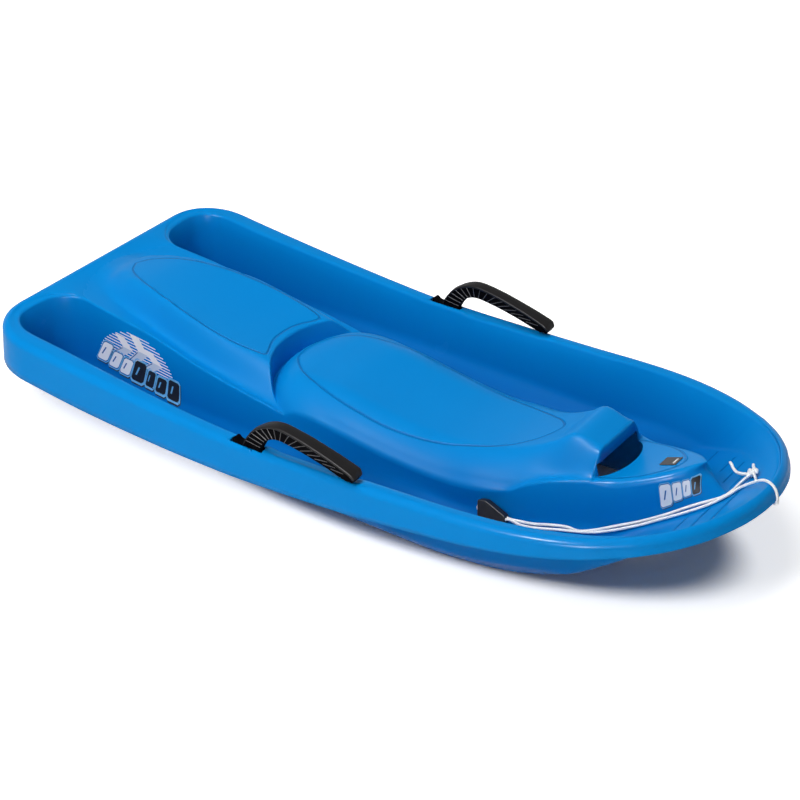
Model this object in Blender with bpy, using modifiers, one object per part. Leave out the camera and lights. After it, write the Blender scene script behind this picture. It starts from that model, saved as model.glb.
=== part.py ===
"""Plastic two-seat sled with hand brakes and a tow rope.

Frame: +X points to the nose, +Y to the rider's left, +Z up. The origin is on the ground
under the middle of the hull. All sizes are metres.
"""

import math

import bmesh
import bpy
import numpy as np
from mathutils import Matrix, Vector

# Driving sizes of the hull
sled_length = 1.22
sled_width = 0.548
sheet_thickness = 0.003
rim_height = 0.110
rear_rise = 0.040
nose_rise = 0.041
nose_tip_rise = 0.012
running_gap = 0.0003
weld_distance = 0.0001
cut_overrun = 0.004

# Rim and skirt
side_taper = 0.0115
rear_corner_radius = 0.085
rim_round_radius = 0.012
band_edge_round = 0.004
band_width = 0.034
nose_band_width = 0.023
skirt_depth = 0.064
skirt_flare = 0.003

# Foot channels
floor_height = 0.003
bilge_height = 0.033
bilge_run = 0.040
nose_bilge_run = 0.062
nose_bilge_lift = 0.020
console_bilge_run = 0.028
wall_lean = 0.012
rear_lift = 0.022
ramp_rise = 0.072
nose_wall_run = 0.012
nose_floor_run = 0.010
well_end_gap = 0.027
well_corner_length = 0.052
well_outer_corner_width = 0.044
well_inner_corner_width = 0.056

# Console with the two seats, the grip bar and the nose tongue
console_half_width = 0.130
console_edge_drop = 0.075
rear_seat_height = 0.166
front_seat_height = 0.126
grip_bar_front_height = 0.162
grip_bar_depth = 0.044
riser_radius_gain = 0.010
riser_draft = 0.004
rear_deck_gap = 0.016
tongue_crown = 0.003
hand_hole_half_width = 0.058
hand_hole_reach = 0.034
hand_hole_face_height = 0.019

# Powers of the curves, which have no length
rear_rise_power = 1.4
nose_rise_power = 1.5
rim_nose_power = 2.5
channel_nose_power = 2.5
foot_nose_power = 2.0
foot_across_power = 2.2

# Steps of sampled curves and round cuts
foot_samples = 400
turn_step_share = 0.01
corner_steps = 5
hand_hole_steps = 12
round_segments = 24

half_length = sled_length / 2 - skirt_flare
half_width = sled_width / 2 - skirt_flare

# Places along the hull are shares of its half length
waist_place = -0.1845 * half_length
nose_start = 0.3443 * half_length
nose_tip_start = 0.7084 * half_length
nose_bilge_start = 0.3130 * half_length
nose_bilge_end = 0.6590 * half_length
rear_lift_start = -0.4942 * half_length
ramp_start = 0.4119 * half_length
ramp_blend = 0.2175 * half_length
riser_edge_place = -0.2076 * half_length
grip_bar_place = 0.5321 * half_length
tongue_tip_place = 0.8072 * half_length
tongue_foot_reach = 0.0659 * half_length
rear_corner_place = -half_length + rear_corner_radius
side_end = -half_length + well_end_gap + well_corner_length
riser_radius = console_half_width + riser_radius_gain


def smooth_through(places, values, place):
    """Monotone cubic curve through hand-chosen knots, held level past both ends."""
    order = np.argsort(places)
    x = np.asarray(places, float)[order]
    y = np.asarray(values, float)[order]
    place = float(np.clip(place, x[0], x[-1]))
    step = np.diff(x)
    slope = np.diff(y) / step
    bend = np.zeros(len(x))
    for i in range(1, len(x) - 1):
        if slope[i - 1] * slope[i] > 0:
            before, after = step[i - 1], step[i]
            first, second = 2 * after + before, after + 2 * before
            bend[i] = (first + second) / (first / slope[i - 1] + second / slope[i])
    bend[0], bend[-1] = slope[0], slope[-1]
    i = int(np.clip(np.searchsorted(x, place) - 1, 0, len(step) - 1))
    t = (place - x[i]) / step[i]
    hold = 2 * t ** 3 - 3 * t ** 2 + 1
    return float(hold * y[i] + (1 - hold) * y[i + 1]
                 + step[i] * ((t ** 3 - 2 * t ** 2 + t) * bend[i] + (t ** 3 - t ** 2) * bend[i + 1]))


def ease(t):
    """Smooth step from 0 to 1."""
    t = min(max(t, 0.0), 1.0)
    return t * t * (3 - 2 * t)


def rim_top(x):
    """Height of the rim, which rises towards both ends."""
    if x < waist_place:
        share = (waist_place - x) / (waist_place + half_length)
        return rim_height + rear_rise * share ** rear_rise_power
    share = (x - waist_place) / (half_length - waist_place)
    tip_share = max(0.0, (x - nose_tip_start) / (half_length - nose_tip_start))
    return rim_height + nose_rise * share ** nose_rise_power + nose_tip_rise * tip_share ** 2


def floor_top(x):
    """Height of the channel floor: flat on the snow, lifted at the rear, a ramp at the nose."""
    if x < rear_lift_start:
        share = (rear_lift_start - x) / (half_length + rear_lift_start)
        return floor_height + rear_lift * share * share
    if x < ramp_start:
        return floor_height
    share = (x - ramp_start) / ramp_blend
    rise = share * share / 2 if share < 1 else share - 1 / 2
    return floor_height + ramp_rise * rise


def bilge_top(x):
    """Height where a channel wall meets the sloping bilge, or the ramp where it is higher."""
    share = ease((x - nose_bilge_start) / (nose_bilge_end - nose_bilge_start))
    return max(floor_top(x), floor_height + bilge_height + nose_bilge_lift * share)


def bilge_share(x):
    """How much of the bilge is left above the ramp, from 1 to 0."""
    left = (bilge_top(x) - floor_top(x)) / (bilge_top(x) - floor_height)
    return min(max(left, 0.0), 1.0)


# Widths of the rim band and depths of the skirt along the hull
band_place_shares = (-0.74, -0.33, 0.33)
band_width_shares = (1.0, 0.79, 0.72)
skirt_place_shares = (-1.0, -0.70, -0.44, -0.18, 0.10, 0.30, 0.45, 0.65, 0.80, 1.0)
skirt_depth_shares = (0.95, 1.0, 0.95, 0.86, 0.79, 0.69, 0.59, 0.46, 0.36, 0.30)


def side_half_width(x):
    """Half width of the straight sides, which draw in a little towards the nose."""
    share = (x + half_length) / (nose_start + half_length)
    return half_width - side_taper * share * share


def band_at(x):
    """Width of the flat rim band beside the channels."""
    places = [share * half_length for share in band_place_shares]
    return band_width * smooth_through(places, band_width_shares, x)


def skirt_depth_at(x):
    """Depth of the skirt under the rim."""
    places = [share * half_length for share in skirt_place_shares]
    return skirt_depth * smooth_through(places, skirt_depth_shares, x)


def nose_arc(tip, width, power, turn, across_power=2.0):
    """Point of a rounded nose outline, from its tip at turn 0 to its widest place at 1."""
    angle = turn * math.pi / 2
    along = max(math.cos(angle), 0.0) ** (2 / power)
    across = max(math.sin(angle), 0.0) ** (2 / across_power)
    return Vector((nose_start + (tip - nose_start) * along, width * across))


nose_rim_width = side_half_width(nose_start)
nose_band_inner = nose_rim_width - band_at(nose_start)


def hull_side(turn):
    """Rim edge, band inner edge and wall foot in plan: 0 to 1 round the nose, 1 to 2 along the side."""
    if turn < 1:
        inner_tip = half_length - nose_band_width
        return (nose_arc(half_length, nose_rim_width, rim_nose_power, turn),
                nose_arc(inner_tip, nose_band_inner, channel_nose_power, turn),
                nose_arc(inner_tip - nose_wall_run, nose_band_inner - wall_lean,
                         foot_nose_power, turn, foot_across_power))
    x = nose_start + (turn - 1) * (side_end - nose_start)
    edge = side_half_width(x)
    inner = edge - band_at(x)
    if x < rear_corner_place:
        edge -= rear_corner_radius - math.sqrt(rear_corner_radius ** 2 - (rear_corner_place - x) ** 2)
    return Vector((x, edge)), Vector((x, inner)), Vector((x, inner - wall_lean))


# Console edge and foot in plan: places are shares of the half length, widths of the console's
edge_place_shares = (-0.90, -0.78, -0.64, -0.50, -0.36, -0.21, -0.13, 0.0, 0.16, 0.30, 0.38,
                     0.45, 0.54, 0.60, 0.68, 0.73, 0.758, 0.784, 0.800, 0.807)
edge_width_shares = (0.85, 0.89, 0.91, 0.97, 1.0, 0.98, 0.965, 0.95, 0.93, 0.89, 0.85,
                     0.78, 0.67, 0.56, 0.43, 0.30, 0.225, 0.155, 0.095, 0.0)
edge_drop_shares = (0.0, 0.0, 0.033, 0.13, 0.22, 0.37, 0.53, 0.78, 0.94, 1.0, 0.81,
                    0.41, 0.17, 0.145, 0.04, -0.08, -0.16, -0.24, -0.29, -0.31)
foot_place_shares = (-0.90, -0.64, -0.36, -0.16, 0.0, 0.19, 0.34, 0.43, 0.54, 0.63, 0.71,
                     0.79, 0.835, 0.860, 0.873)
foot_width_shares = (0.95, 1.03, 1.07, 1.01, 0.98, 0.94, 0.875, 0.84, 0.755, 0.615, 0.455,
                     0.275, 0.175, 0.09, 0.0)


def console_edge(x):
    """Half width and height of the console's edge at a place along it."""
    places = [share * half_length for share in edge_place_shares]
    width = console_half_width * smooth_through(places, edge_width_shares, x)
    drop = console_edge_drop * smooth_through(places, edge_drop_shares, x)
    return width, rim_top(x) - drop


def console_foot(x):
    """Half width of the console where its wall meets the channel floor."""
    places = [share * half_length for share in foot_place_shares]
    return console_half_width * smooth_through(places, foot_width_shares, x)


# Seat heights along the middle: places are shares of the half length
rear_seat_place_shares = (-0.98, -0.92, -0.86, -0.78, -0.70, -0.60, -0.48, -0.36, -0.34)
rear_seat_height_shares = (0.92, 0.935, 0.965, 1.0, 0.985, 0.935, 0.855, 0.785, 0.765)
front_seat_place_shares = (-0.35, -0.33, -0.30, -0.25, -0.15, 0.0, 0.07, 0.13, 0.20, 0.27,
                           0.34, 0.41, 0.48, 0.53)
front_seat_height_shares = (0.67, 0.80, 0.92, 0.99, 0.985, 0.895, 0.855, 0.83, 0.83, 0.86,
                            0.915, 1.02, 1.19, 1.357)


def rear_seat_top(x):
    """Height of the rear seat on the middle line."""
    places = [share * half_length for share in rear_seat_place_shares]
    return rear_seat_height * smooth_through(places, rear_seat_height_shares, x)


def front_seat_top(x):
    """Height of the front seat on the middle line, from the valley up to the grip bar."""
    places = [share * half_length for share in front_seat_place_shares]
    return front_seat_height * smooth_through(places, front_seat_height_shares, x)


# A station is a line across the console, from its edge to the middle line. Each holds its
# edge place, its middle place, its middle height, where the flat seat ends and its fall ends,
# as shares of the half width, and the share of the fall that is round like a bulge.
console_row_shares = (1.0, 0.92, 0.82, 0.69, 0.56, 0.40, 0.21, 0.0)
rear_station_shares = (0.0, 0.07, 0.14, 0.22, 0.32, 0.44, 0.57, 0.70, 0.83, 0.93, 1.0)
front_station_shares = (0.0, 0.035, 0.075, 0.12, 0.18, 0.26, 0.35, 0.45, 0.55, 0.64, 0.72,
                        0.79, 0.85, 0.90, 0.95, 1.0)
tongue_station_shares = (0.0, 0.20, 0.40, 0.565, 0.80, 0.92, 1.0)
bar_start_share = 0.72
rear_flat_shares = (0.0, 0.10, 0.25, 0.38, 0.47, 0.55, 0.60, 0.61, 0.60, 0.58, 0.56)
rear_fall_shares = (0.55, 0.62, 0.70, 0.76, 0.80, 0.83, 0.86, 0.88, 0.91, 0.94, 0.97)
front_fall_shares = (0.50, 1.03)
bar_fall_shares = (0.48, 0.88)
bar_front_fall_shares = (0.58, 1.0)


def mix(a, b, share):
    """Value between a and b."""
    return a + (b - a) * share


def arc_depth(half_chord):
    """Depth of the riser's arc in plan over half a chord."""
    return riser_radius - math.sqrt(riser_radius ** 2 - half_chord ** 2)


def console_stations():
    """All stations of the console, from the rear deck to the tongue's tip."""
    stations = []
    deck_middle = -half_length + rim_round_radius + rear_deck_gap
    riser_middle = riser_edge_place - arc_depth(console_half_width)
    for i, share in enumerate(rear_station_shares):
        edge = mix(side_end, riser_edge_place, share)
        middle = mix(deck_middle, riser_middle, share)
        top = mix(rim_top(middle), rear_seat_top(middle), ease(share / rear_station_shares[2]))
        stations.append((edge, middle, top, rear_flat_shares[i], rear_fall_shares[i], 0.0))
    for share in front_station_shares:
        edge = mix(riser_edge_place + riser_draft, grip_bar_place, share)
        middle = mix(riser_middle + riser_draft, grip_bar_place, share)
        rise = ease((share - bar_start_share) / (1 - bar_start_share))
        flat = mix(front_fall_shares[0], bar_fall_shares[0], rise)
        foot = mix(front_fall_shares[1], bar_fall_shares[1], rise)
        stations.append((edge, middle, front_seat_top(middle), flat, foot, 1 - rise))
    bar_front = grip_bar_place + grip_bar_depth
    stations.append((bar_front, bar_front, grip_bar_front_height, *bar_front_fall_shares, 0.0))
    for share in tongue_station_shares:
        edge = mix(bar_front + riser_draft, tongue_tip_place, share)
        top = console_edge(edge)[1] + tongue_crown * (1 - share)
        stations.append((edge, edge, top, 0.0, 1.0, 0.0))
    return stations


def console_point(station, share):
    """Point of the console's top on a station, at a share of its half width."""
    edge, middle, top, flat, foot, bulge = station
    width, edge_height = console_edge(edge)
    bow = arc_depth(console_half_width * share) / arc_depth(console_half_width)
    x = mix(middle, edge, bow)
    t = min(max((share - flat) / (foot - flat), 0.0), 1.0)
    fall = mix(ease(t), 1 - math.sqrt(1 - t * t), bulge)
    return Vector((x, width * share, mix(top, edge_height, fall)))


def wall_point(plan, height):
    """Point in space over a place in plan."""
    return Vector((plan.x, plan.y, height))


def outer_column(rim, outward, inner, foot, floor, middle):
    """Points of the sheet from the channel's middle out over the rim and down the skirt."""
    band = (inner - foot).normalized() * band_edge_round
    top = rim_top(rim.x)
    depth = skirt_depth_at(rim.x)
    bend = rim_round_radius * (1 - math.sqrt(1 / 2))
    start = rim - outward * rim_round_radius
    half = rim - outward * bend
    return [wall_point(middle, floor_top(middle.x)),
            wall_point(floor, floor_top(floor.x)),
            wall_point(foot, bilge_top(foot.x)),
            wall_point(inner, rim_top(inner.x) - band_edge_round),
            wall_point(inner + band, rim_top(inner.x)),
            wall_point(start, top),
            wall_point(half, top - bend),
            wall_point(rim, top - rim_round_radius),
            wall_point(rim + outward * skirt_flare, top - depth)]


def inner_column(station, foot, floor, middle):
    """Points of the sheet from the channel's middle up over the console to the middle line."""
    edge = station[0]
    width, height = console_edge(edge)
    low = height - min(band_edge_round, (height - bilge_top(foot.x)) / 2)
    points = [wall_point(middle, floor_top(middle.x)),
              wall_point(floor, floor_top(floor.x)),
              wall_point(foot, bilge_top(foot.x)),
              Vector((edge, width, low))]
    flat_share = max(0.0, 1 - band_edge_round / max(width, band_edge_round))
    for share in console_row_shares:
        points.append(console_point(station, share * flat_share))
    return points


def outer_inset(x):
    """Distance in plan from the outer wall's foot to the flat floor, wider towards the nose."""
    share = ease((x - nose_bilge_start) / (nose_bilge_end - nose_bilge_start))
    return mix(nose_floor_run, mix(bilge_run, nose_bilge_run, share), bilge_share(x))


def inner_inset(x):
    """Distance in plan from the console's foot to the flat floor."""
    return mix(nose_floor_run, console_bilge_run, bilge_share(x))


def toward(start, end, distance):
    """Point at a distance from start on the way to end."""
    way = end - start
    if way.length < distance:
        return end.copy()
    return start + way.normalized() * distance


def tongue_foot_place(edge):
    """Place of a station's wall foot, which reaches ahead of the edge round the tongue."""
    share = max(0.0, (edge - grip_bar_place) / (tongue_tip_place - grip_bar_place))
    return edge + tongue_foot_reach * share * share


def hull_columns():
    """Columns of the half sheet: outer ones from the nose to the rear, then the inner ones."""
    stations = console_stations()
    feet = []
    for station in reversed(stations):
        x = tongue_foot_place(station[0])
        feet.append(Vector((x, console_foot(x))))
    feet[0].y = 0.0
    lengths = [0.0]
    for a, b in zip(feet, feet[1:]):
        lengths.append(lengths[-1] + (b - a).length)
    turns = [2 * i / foot_samples for i in range(foot_samples + 1)]
    outer_feet = [hull_side(turn)[2] for turn in turns]
    outer_lengths = [0.0]
    for a, b in zip(outer_feet, outer_feet[1:]):
        outer_lengths.append(outer_lengths[-1] + (b - a).length)
    outer, inner = [], []
    for k, foot in enumerate(feet):
        station = stations[len(stations) - 1 - k]
        share = lengths[k] / lengths[-1]
        turn = float(np.interp(share * outer_lengths[-1], outer_lengths, turns))
        rim, band, outer_foot = hull_side(turn)
        ahead = hull_side(max(turn - turn_step_share, 0.0))[0]
        behind = hull_side(min(turn + turn_step_share, 2.0))[0]
        along = (ahead - behind).normalized()
        outward = Vector((abs(along.y), abs(along.x)))
        if k == 0:
            outward = Vector((1.0, 0.0))
            rim.y = band.y = outer_foot.y = 0.0
        middle = (foot + outer_foot) / 2
        outer_floor = toward(outer_foot, middle, outer_inset(outer_foot.x))
        inner_floor = toward(foot, middle, inner_inset(foot.x))
        if k == 0:
            outer_floor.y = inner_floor.y = middle.y = 0.0
        outer.append(outer_column(rim, outward, band, outer_foot, outer_floor, middle))
        inner.append(inner_column(station, foot, inner_floor, middle))
    return outer, inner, outer[-1][0].xy


def well_corner(centre, width, along, across, inset):
    """Point of an elliptic corner of a channel's rear end, inset for the foot of its wall."""
    return Vector((centre.x + along * (well_corner_length - inset), centre.y + across * (width - inset)))


def well_end_columns(middle):
    """Columns that fan round the rear end of a channel, from its outer side to the console."""
    columns = []
    side = side_half_width(side_end)
    outer_width, inner_width = well_outer_corner_width, well_inner_corner_width
    outer_centre = Vector((side_end, side - band_at(side_end) - outer_width))
    inner_centre = Vector((side_end, console_edge(side_end)[0] + inner_width))
    rim_centre = Vector((rear_corner_place, side_half_width(rear_corner_place) - rear_corner_radius))
    start = math.asin((rear_corner_place - side_end) / rear_corner_radius)
    for i in range(1, corner_steps + 1):
        angle = i / corner_steps * math.pi / 2
        rim_angle = mix(start, math.pi / 2, i / corner_steps)
        outward = Vector((-math.sin(rim_angle), math.cos(rim_angle)))
        band = well_corner(outer_centre, outer_width, -math.sin(angle), math.cos(angle), 0.0)
        foot = well_corner(outer_centre, outer_width, -math.sin(angle), math.cos(angle), wall_lean)
        columns.append(outer_column(rim_centre + outward * rear_corner_radius, outward, band, foot,
                                    toward(foot, middle, inner_inset(foot.x)), middle))
    for i in range(1, corner_steps + 1):
        angle = i / corner_steps * math.pi / 2
        band = well_corner(inner_centre, inner_width, -math.cos(angle), -math.sin(angle), 0.0)
        foot = well_corner(inner_centre, inner_width, -math.cos(angle), -math.sin(angle), wall_lean)
        rim = Vector((-half_length, mix(rim_centre.y, inner_centre.y - inner_width, i / corner_steps)))
        columns.append(outer_column(rim, Vector((-1.0, 0.0)), band, foot,
                                    toward(foot, middle, inner_inset(foot.x)), middle))
    return columns


def build_half_sheet():
    """Mesh of the left half of the hull's sheet, open at the middle plane."""
    outer, inner, well_middle = hull_columns()
    outer += well_end_columns(well_middle)
    mesh = bmesh.new()

    def add(points):
        return [mesh.verts.new(point) for point in points]

    def join(left, right):
        for i in range(len(left) - 1):
            mesh.faces.new((left[i], left[i + 1], right[i + 1], right[i]))

    inner_verts = [add(points) for points in inner]
    outer_verts = [add(points) for points in outer[:-1]]
    junction = inner_verts[-1]
    rim_columns = [outer[-1][5:]]
    for vert in junction[5:]:
        rim_columns.append([Vector((point.x, vert.co.y, point.z)) for point in rim_columns[0]])
    rim_verts = [add(points) for points in rim_columns]
    outer_verts.append(junction[:5] + rim_verts[0])
    for left, right in zip(outer_verts, outer_verts[1:]):
        join(left, right)
    for i, (left, right) in enumerate(zip(rim_verts, rim_verts[1:])):
        join([junction[4 + i]] + left, [junction[5 + i]] + right)
    for right, left in zip(inner_verts, inner_verts[1:]):
        join(left, right)
    bmesh.ops.remove_doubles(mesh, verts=mesh.verts, dist=weld_distance)
    return mesh


def new_material(name, color, roughness, metallic=0.0):
    """Plain Principled material."""
    material = bpy.data.materials.new(name)
    material.use_nodes = True
    shader = material.node_tree.nodes["Principled BSDF"]
    shader.inputs["Base Color"].default_value = (*color, 1.0)
    shader.inputs["Roughness"].default_value = roughness
    shader.inputs["Metallic"].default_value = metallic
    return material


def new_object(name, mesh, collection, material=None):
    """Object of a bmesh, which is freed."""
    data = bpy.data.meshes.new(name)
    mesh.to_mesh(data)
    mesh.free()
    thing = bpy.data.objects.new(name, data)
    collection.objects.link(thing)
    if material:
        data.materials.append(material)
    return thing


def hide_cutter(cutter):
    """Mark an object as one that only cuts or joins others."""
    cutter.hide_render = True
    cutter.display_type = "WIRE"
    return cutter


def new_cutter(name, mesh, collection):
    """Object of a bmesh that only cuts or joins others."""
    return hide_cutter(new_object(name, mesh, collection))


def boolean(thing, other, operation):
    """Boolean modifier with the exact solver."""
    modifier = thing.modifiers.new(other.name, "BOOLEAN")
    modifier.operation = operation
    modifier.object = other
    return modifier


def block(low, high):
    """Mesh of a box between two corners."""
    mesh = bmesh.new()
    low, high = Vector(low), Vector(high)
    bmesh.ops.create_cube(mesh, size=1.0)
    bmesh.ops.scale(mesh, vec=high - low, verts=mesh.verts)
    bmesh.ops.translate(mesh, vec=(high + low) / 2, verts=mesh.verts)
    return mesh


def prism(outline, depth):
    """Mesh of a flat outline pushed along a depth vector, faces out."""
    mesh = bmesh.new()
    face = mesh.faces.new([mesh.verts.new(point) for point in outline])
    pushed = bmesh.ops.extrude_face_region(mesh, geom=[face])
    moved = [item for item in pushed["geom"] if isinstance(item, bmesh.types.BMVert)]
    bmesh.ops.translate(mesh, vec=depth, verts=moved)
    bmesh.ops.recalc_face_normals(mesh, faces=mesh.faces)
    return mesh


def cylinder_along_y(radius, low, high, place, height):
    """Mesh of a round bar along Y between two widths."""
    mesh = bmesh.new()
    bmesh.ops.create_cone(mesh, cap_ends=True, segments=round_segments, radius1=radius,
                          radius2=radius, depth=high - low)
    bmesh.ops.rotate(mesh, matrix=Matrix.Rotation(math.pi / 2, 3, "X"), verts=mesh.verts)
    bmesh.ops.translate(mesh, vec=(place, (low + high) / 2, height), verts=mesh.verts)
    return mesh


def loft(sections):
    """Closed body through rings of equal point counts, with flat ends."""
    mesh = bmesh.new()
    rings = [[mesh.verts.new(point) for point in ring] for ring in sections]
    for a, b in zip(rings, rings[1:]):
        for i in range(len(a)):
            j = (i + 1) % len(a)
            mesh.faces.new((a[i], a[j], b[j], b[i]))
    mesh.faces.new(list(reversed(rings[0])))
    mesh.faces.new(rings[-1])
    bmesh.ops.recalc_face_normals(mesh, faces=mesh.faces)
    return mesh


# Pivot of the brake levers
pivot_place = -0.1433 * half_length
pivot_drop = 0.012
pivot_height = rim_top(pivot_place) - pivot_drop
pin_radius = 0.0025
lever_thickness = 0.0135
lever_side_gap = 0.0006
lug_half_length = 0.008
lug_bite = 0.001
slot_rear_reach = 0.0345
slot_front_reach = 0.025
rim_edge = side_half_width(pivot_place)
skirt_inner = rim_edge - sheet_thickness
wall_outer = rim_edge - band_at(pivot_place) + sheet_thickness - wall_lean * pivot_drop / rim_height
outer_lug_thickness = 0.0027
lever_outer = skirt_inner - outer_lug_thickness - lever_side_gap
lever_inner = lever_outer - lever_thickness
lever_middle = (lever_outer + lever_inner) / 2

# The lever is drawn in its own plane from the pivot, as shares of its reach and rise
lever_reach = 0.193
lever_rise = 0.070
lever_grip_width = 0.025
handle_top_shares = ((-0.047, 0.114), (-0.044, 0.214), (0.036, 0.60), (0.14, 0.86), (0.264, 1.0),
                     (0.45, 0.93), (0.71, 0.70), (0.89, 0.53), (0.984, 0.43), (1.0, 0.37))
handle_bottom_shares = ((0.109, 0.114), (0.109, 0.20), (0.166, 0.53), (0.223, 0.657), (0.295, 0.714),
                        (0.45, 0.643), (0.674, 0.486), (0.84, 0.34), (0.927, 0.285), (0.969, 0.285))
handle_width_shares = (0.54, 0.54, 0.64, 0.72, 0.78, 0.82, 0.88, 0.96, 1.0, 0.92)
handle_corner_shares = ((-0.5, 0.14), (-0.36, 0.0), (0.36, 0.0), (0.5, 0.14),
                        (0.5, 0.90), (0.40, 1.0), (-0.40, 1.0), (-0.5, 0.90))
heel_outline_shares = ((-0.148, 0.10), (-0.148, 0.25), (-0.128, 0.25), (-0.105, 0.19), (-0.06, 0.18),
                       (0.0, 0.22), (0.10, 0.20), (0.109, 0.10), (0.05, -0.06), (0.0, -0.11),
                       (-0.05, -0.07))

# The claw arm is drawn as shares of its length
claw_length = 0.125
claw_outline_shares = ((-0.02, -0.085), (-0.40, -0.175), (-0.78, -0.27), (-0.885, -0.315),
                       (-0.925, -0.345), (-1.0, -0.305), (-0.985, -0.235), (-0.80, -0.155),
                       (-0.40, -0.045), (-0.10, 0.02), (0.0, 0.05))


def make_pivot_pin(name, side, parts, material):
    """Steel pin of a brake lever, held in the two lugs under the rim."""
    inner = wall_outer + lug_bite
    outer = skirt_inner + lug_bite / 2
    low, high = sorted((side * inner, side * outer))
    mesh = cylinder_along_y(pin_radius, low, high, 0.0, 0.0)
    pin = new_object(name, mesh, parts, material)
    pin.location = (pivot_place, 0.0, pivot_height)
    return pin


def lever_plate(outline, size, drop):
    """Plate of the lever's thickness from an outline of shares, drawn from the pivot."""
    points = [Vector((x * size[0], lever_inner, z * size[1] + drop)) for x, z in outline]
    return prism(points, Vector((0.0, lever_thickness, 0.0)))


def handle_rings():
    """Rings of the lever's handle, from the slot to the tip of the grip."""
    rings = []
    for top, bottom, width_share in zip(handle_top_shares, handle_bottom_shares, handle_width_shares):
        upper = Vector((top[0] * lever_reach, lever_middle, top[1] * lever_rise))
        lower = Vector((bottom[0] * lever_reach, lever_middle, bottom[1] * lever_rise))
        ring = []
        for across, down in handle_corner_shares:
            point = upper.lerp(lower, down)
            point.y += across * width_share * lever_grip_width
            ring.append(point)
        rings.append(ring)
    return rings


def make_brake_lever(name, side, parts, cutters, material):
    """One-piece brake lever: handle, boss in the slot and claw arm under the rim."""
    handle = loft(handle_rings())
    heel = lever_plate(heel_outline_shares, (lever_reach, lever_rise), 0.0)
    claw = lever_plate(claw_outline_shares, (claw_length, claw_length), 0.0)
    hole = cylinder_along_y(pin_radius + running_gap, lever_inner - cut_overrun,
                            lever_outer + cut_overrun, 0.0, 0.0)
    meshes = [handle, heel, claw, hole]
    if side < 0:
        for mesh in meshes:
            bmesh.ops.scale(mesh, vec=(1.0, -1.0, 1.0), verts=mesh.verts)
            bmesh.ops.reverse_faces(mesh, faces=mesh.faces)
    lever = new_object(name, handle, parts, material)
    heel_part = new_cutter(name + "_heel", heel, cutters)
    claw_part = new_cutter(name + "_claw", claw, cutters)
    hole_cutter = new_cutter(name + "_hole", hole, cutters)
    for thing in (lever, heel_part, claw_part, hole_cutter):
        thing.location = (pivot_place, 0.0, pivot_height)
    boolean(lever, heel_part, "UNION")
    boolean(lever, claw_part, "UNION")
    boolean(lever, hole_cutter, "DIFFERENCE")
    return lever


def pivot_cutters(side, cutters):
    """Lugs, slot and pin hole of one brake lever in the hull."""
    low, high = pivot_height - lug_half_length, rim_top(pivot_place) - sheet_thickness / 2
    front, rear = pivot_place + lug_half_length, pivot_place - lug_half_length
    made = []
    spans = ((wall_outer - sheet_thickness / 2, lever_inner - lever_side_gap),
             (lever_outer + lever_side_gap, skirt_inner + sheet_thickness / 2))
    for i, (inner, outer) in enumerate(spans):
        near, far = sorted((side * inner, side * outer))
        mesh = block((rear, near, low), (front, far, high))
        made.append((new_cutter("lug_%d_%d" % (side, i), mesh, cutters), "UNION"))
    near, far = sorted((side * (lever_inner - lever_side_gap), side * (lever_outer + lever_side_gap)))
    mesh = block((pivot_place - slot_rear_reach, near, rim_top(pivot_place) - 2 * cut_overrun),
                 (pivot_place + slot_front_reach, far, rim_top(pivot_place) + 2 * cut_overrun))
    made.append((new_cutter("slot_%d" % side, mesh, cutters), "DIFFERENCE"))
    near, far = sorted((side * (wall_outer + lug_bite / 2), side * (skirt_inner + lug_bite)))
    mesh = cylinder_along_y(pin_radius + running_gap, near, far, pivot_place, pivot_height)
    made.append((new_cutter("pin_hole_%d" % side, mesh, cutters), "DIFFERENCE"))
    return made


def hand_hole(cutters):
    """Cutter of the hand opening in front of the grip bar, round at its front."""
    rear = grip_bar_place + grip_bar_depth - sheet_thickness - cut_overrun / 2
    low = console_edge(rear)[1] - 3 * cut_overrun
    high = grip_bar_front_height - hand_hole_face_height
    outline = []
    for i in range(hand_hole_steps + 1):
        angle = math.pi * (i / hand_hole_steps - 1 / 2)
        outline.append(Vector((rear + hand_hole_reach * math.cos(angle),
                               hand_hole_half_width * math.sin(angle), low)))
    return new_cutter("hand_hole", prism(outline, Vector((0.0, 0.0, high - low))), cutters)


# Tow rope: a loop through the hole in the ramp, round the nose and through the grip
rope_diameter = 0.004
rope_hole_radius = 0.0035
rope_hole_place = (0.5618, 0.0413)
longest_rope_step = 0.0135
shortest_rope_step = 0.0045
rope_step_turn = math.radians(34)
rope_bevel_steps = 2
rope_curve_samples = 12
rope_drawn_half_length = 0.607
rope_route = ((0.5505, 0.0540, 0.1395), (0.5540, 0.0503, 0.1402), (0.5580, 0.0457, 0.1405),
              (0.5609, 0.0423, 0.1384), (0.5622, 0.0407, 0.1335), (0.5642, 0.0385, 0.1290),
              (0.5695, 0.0338, 0.1268), (0.5800, 0.0255, 0.1288), (0.5945, 0.0140, 0.1342),
              (0.6062, 0.0055, 0.1381), (0.6127, 0.0012, 0.1426), (0.6136, 0.0002, 0.1490),
              (0.6118, 0.0012, 0.1552), (0.6074, 0.0036, 0.1616), (0.6005, 0.0066, 0.1652),
              (0.5925, 0.0090, 0.1660), (0.5840, 0.0118, 0.1632), (0.5738, 0.0158, 0.1550),
              (0.5615, 0.0195, 0.1442), (0.5484, 0.0175, 0.1345), (0.5365, 0.0080, 0.1275),
              (0.5275, -0.0165, 0.1217), (0.5050, -0.0350, 0.1095), (0.4752, -0.0515, 0.0930),
              (0.4445, -0.0643, 0.0770), (0.4155, -0.0760, 0.0640), (0.3915, -0.0905, 0.0580),
              (0.3680, -0.0980, 0.0535), (0.3450, -0.1030, 0.0500), (0.3205, -0.1095, 0.0460),
              (0.3000, -0.1180, 0.0455), (0.2850, -0.1245, 0.0480))
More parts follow.
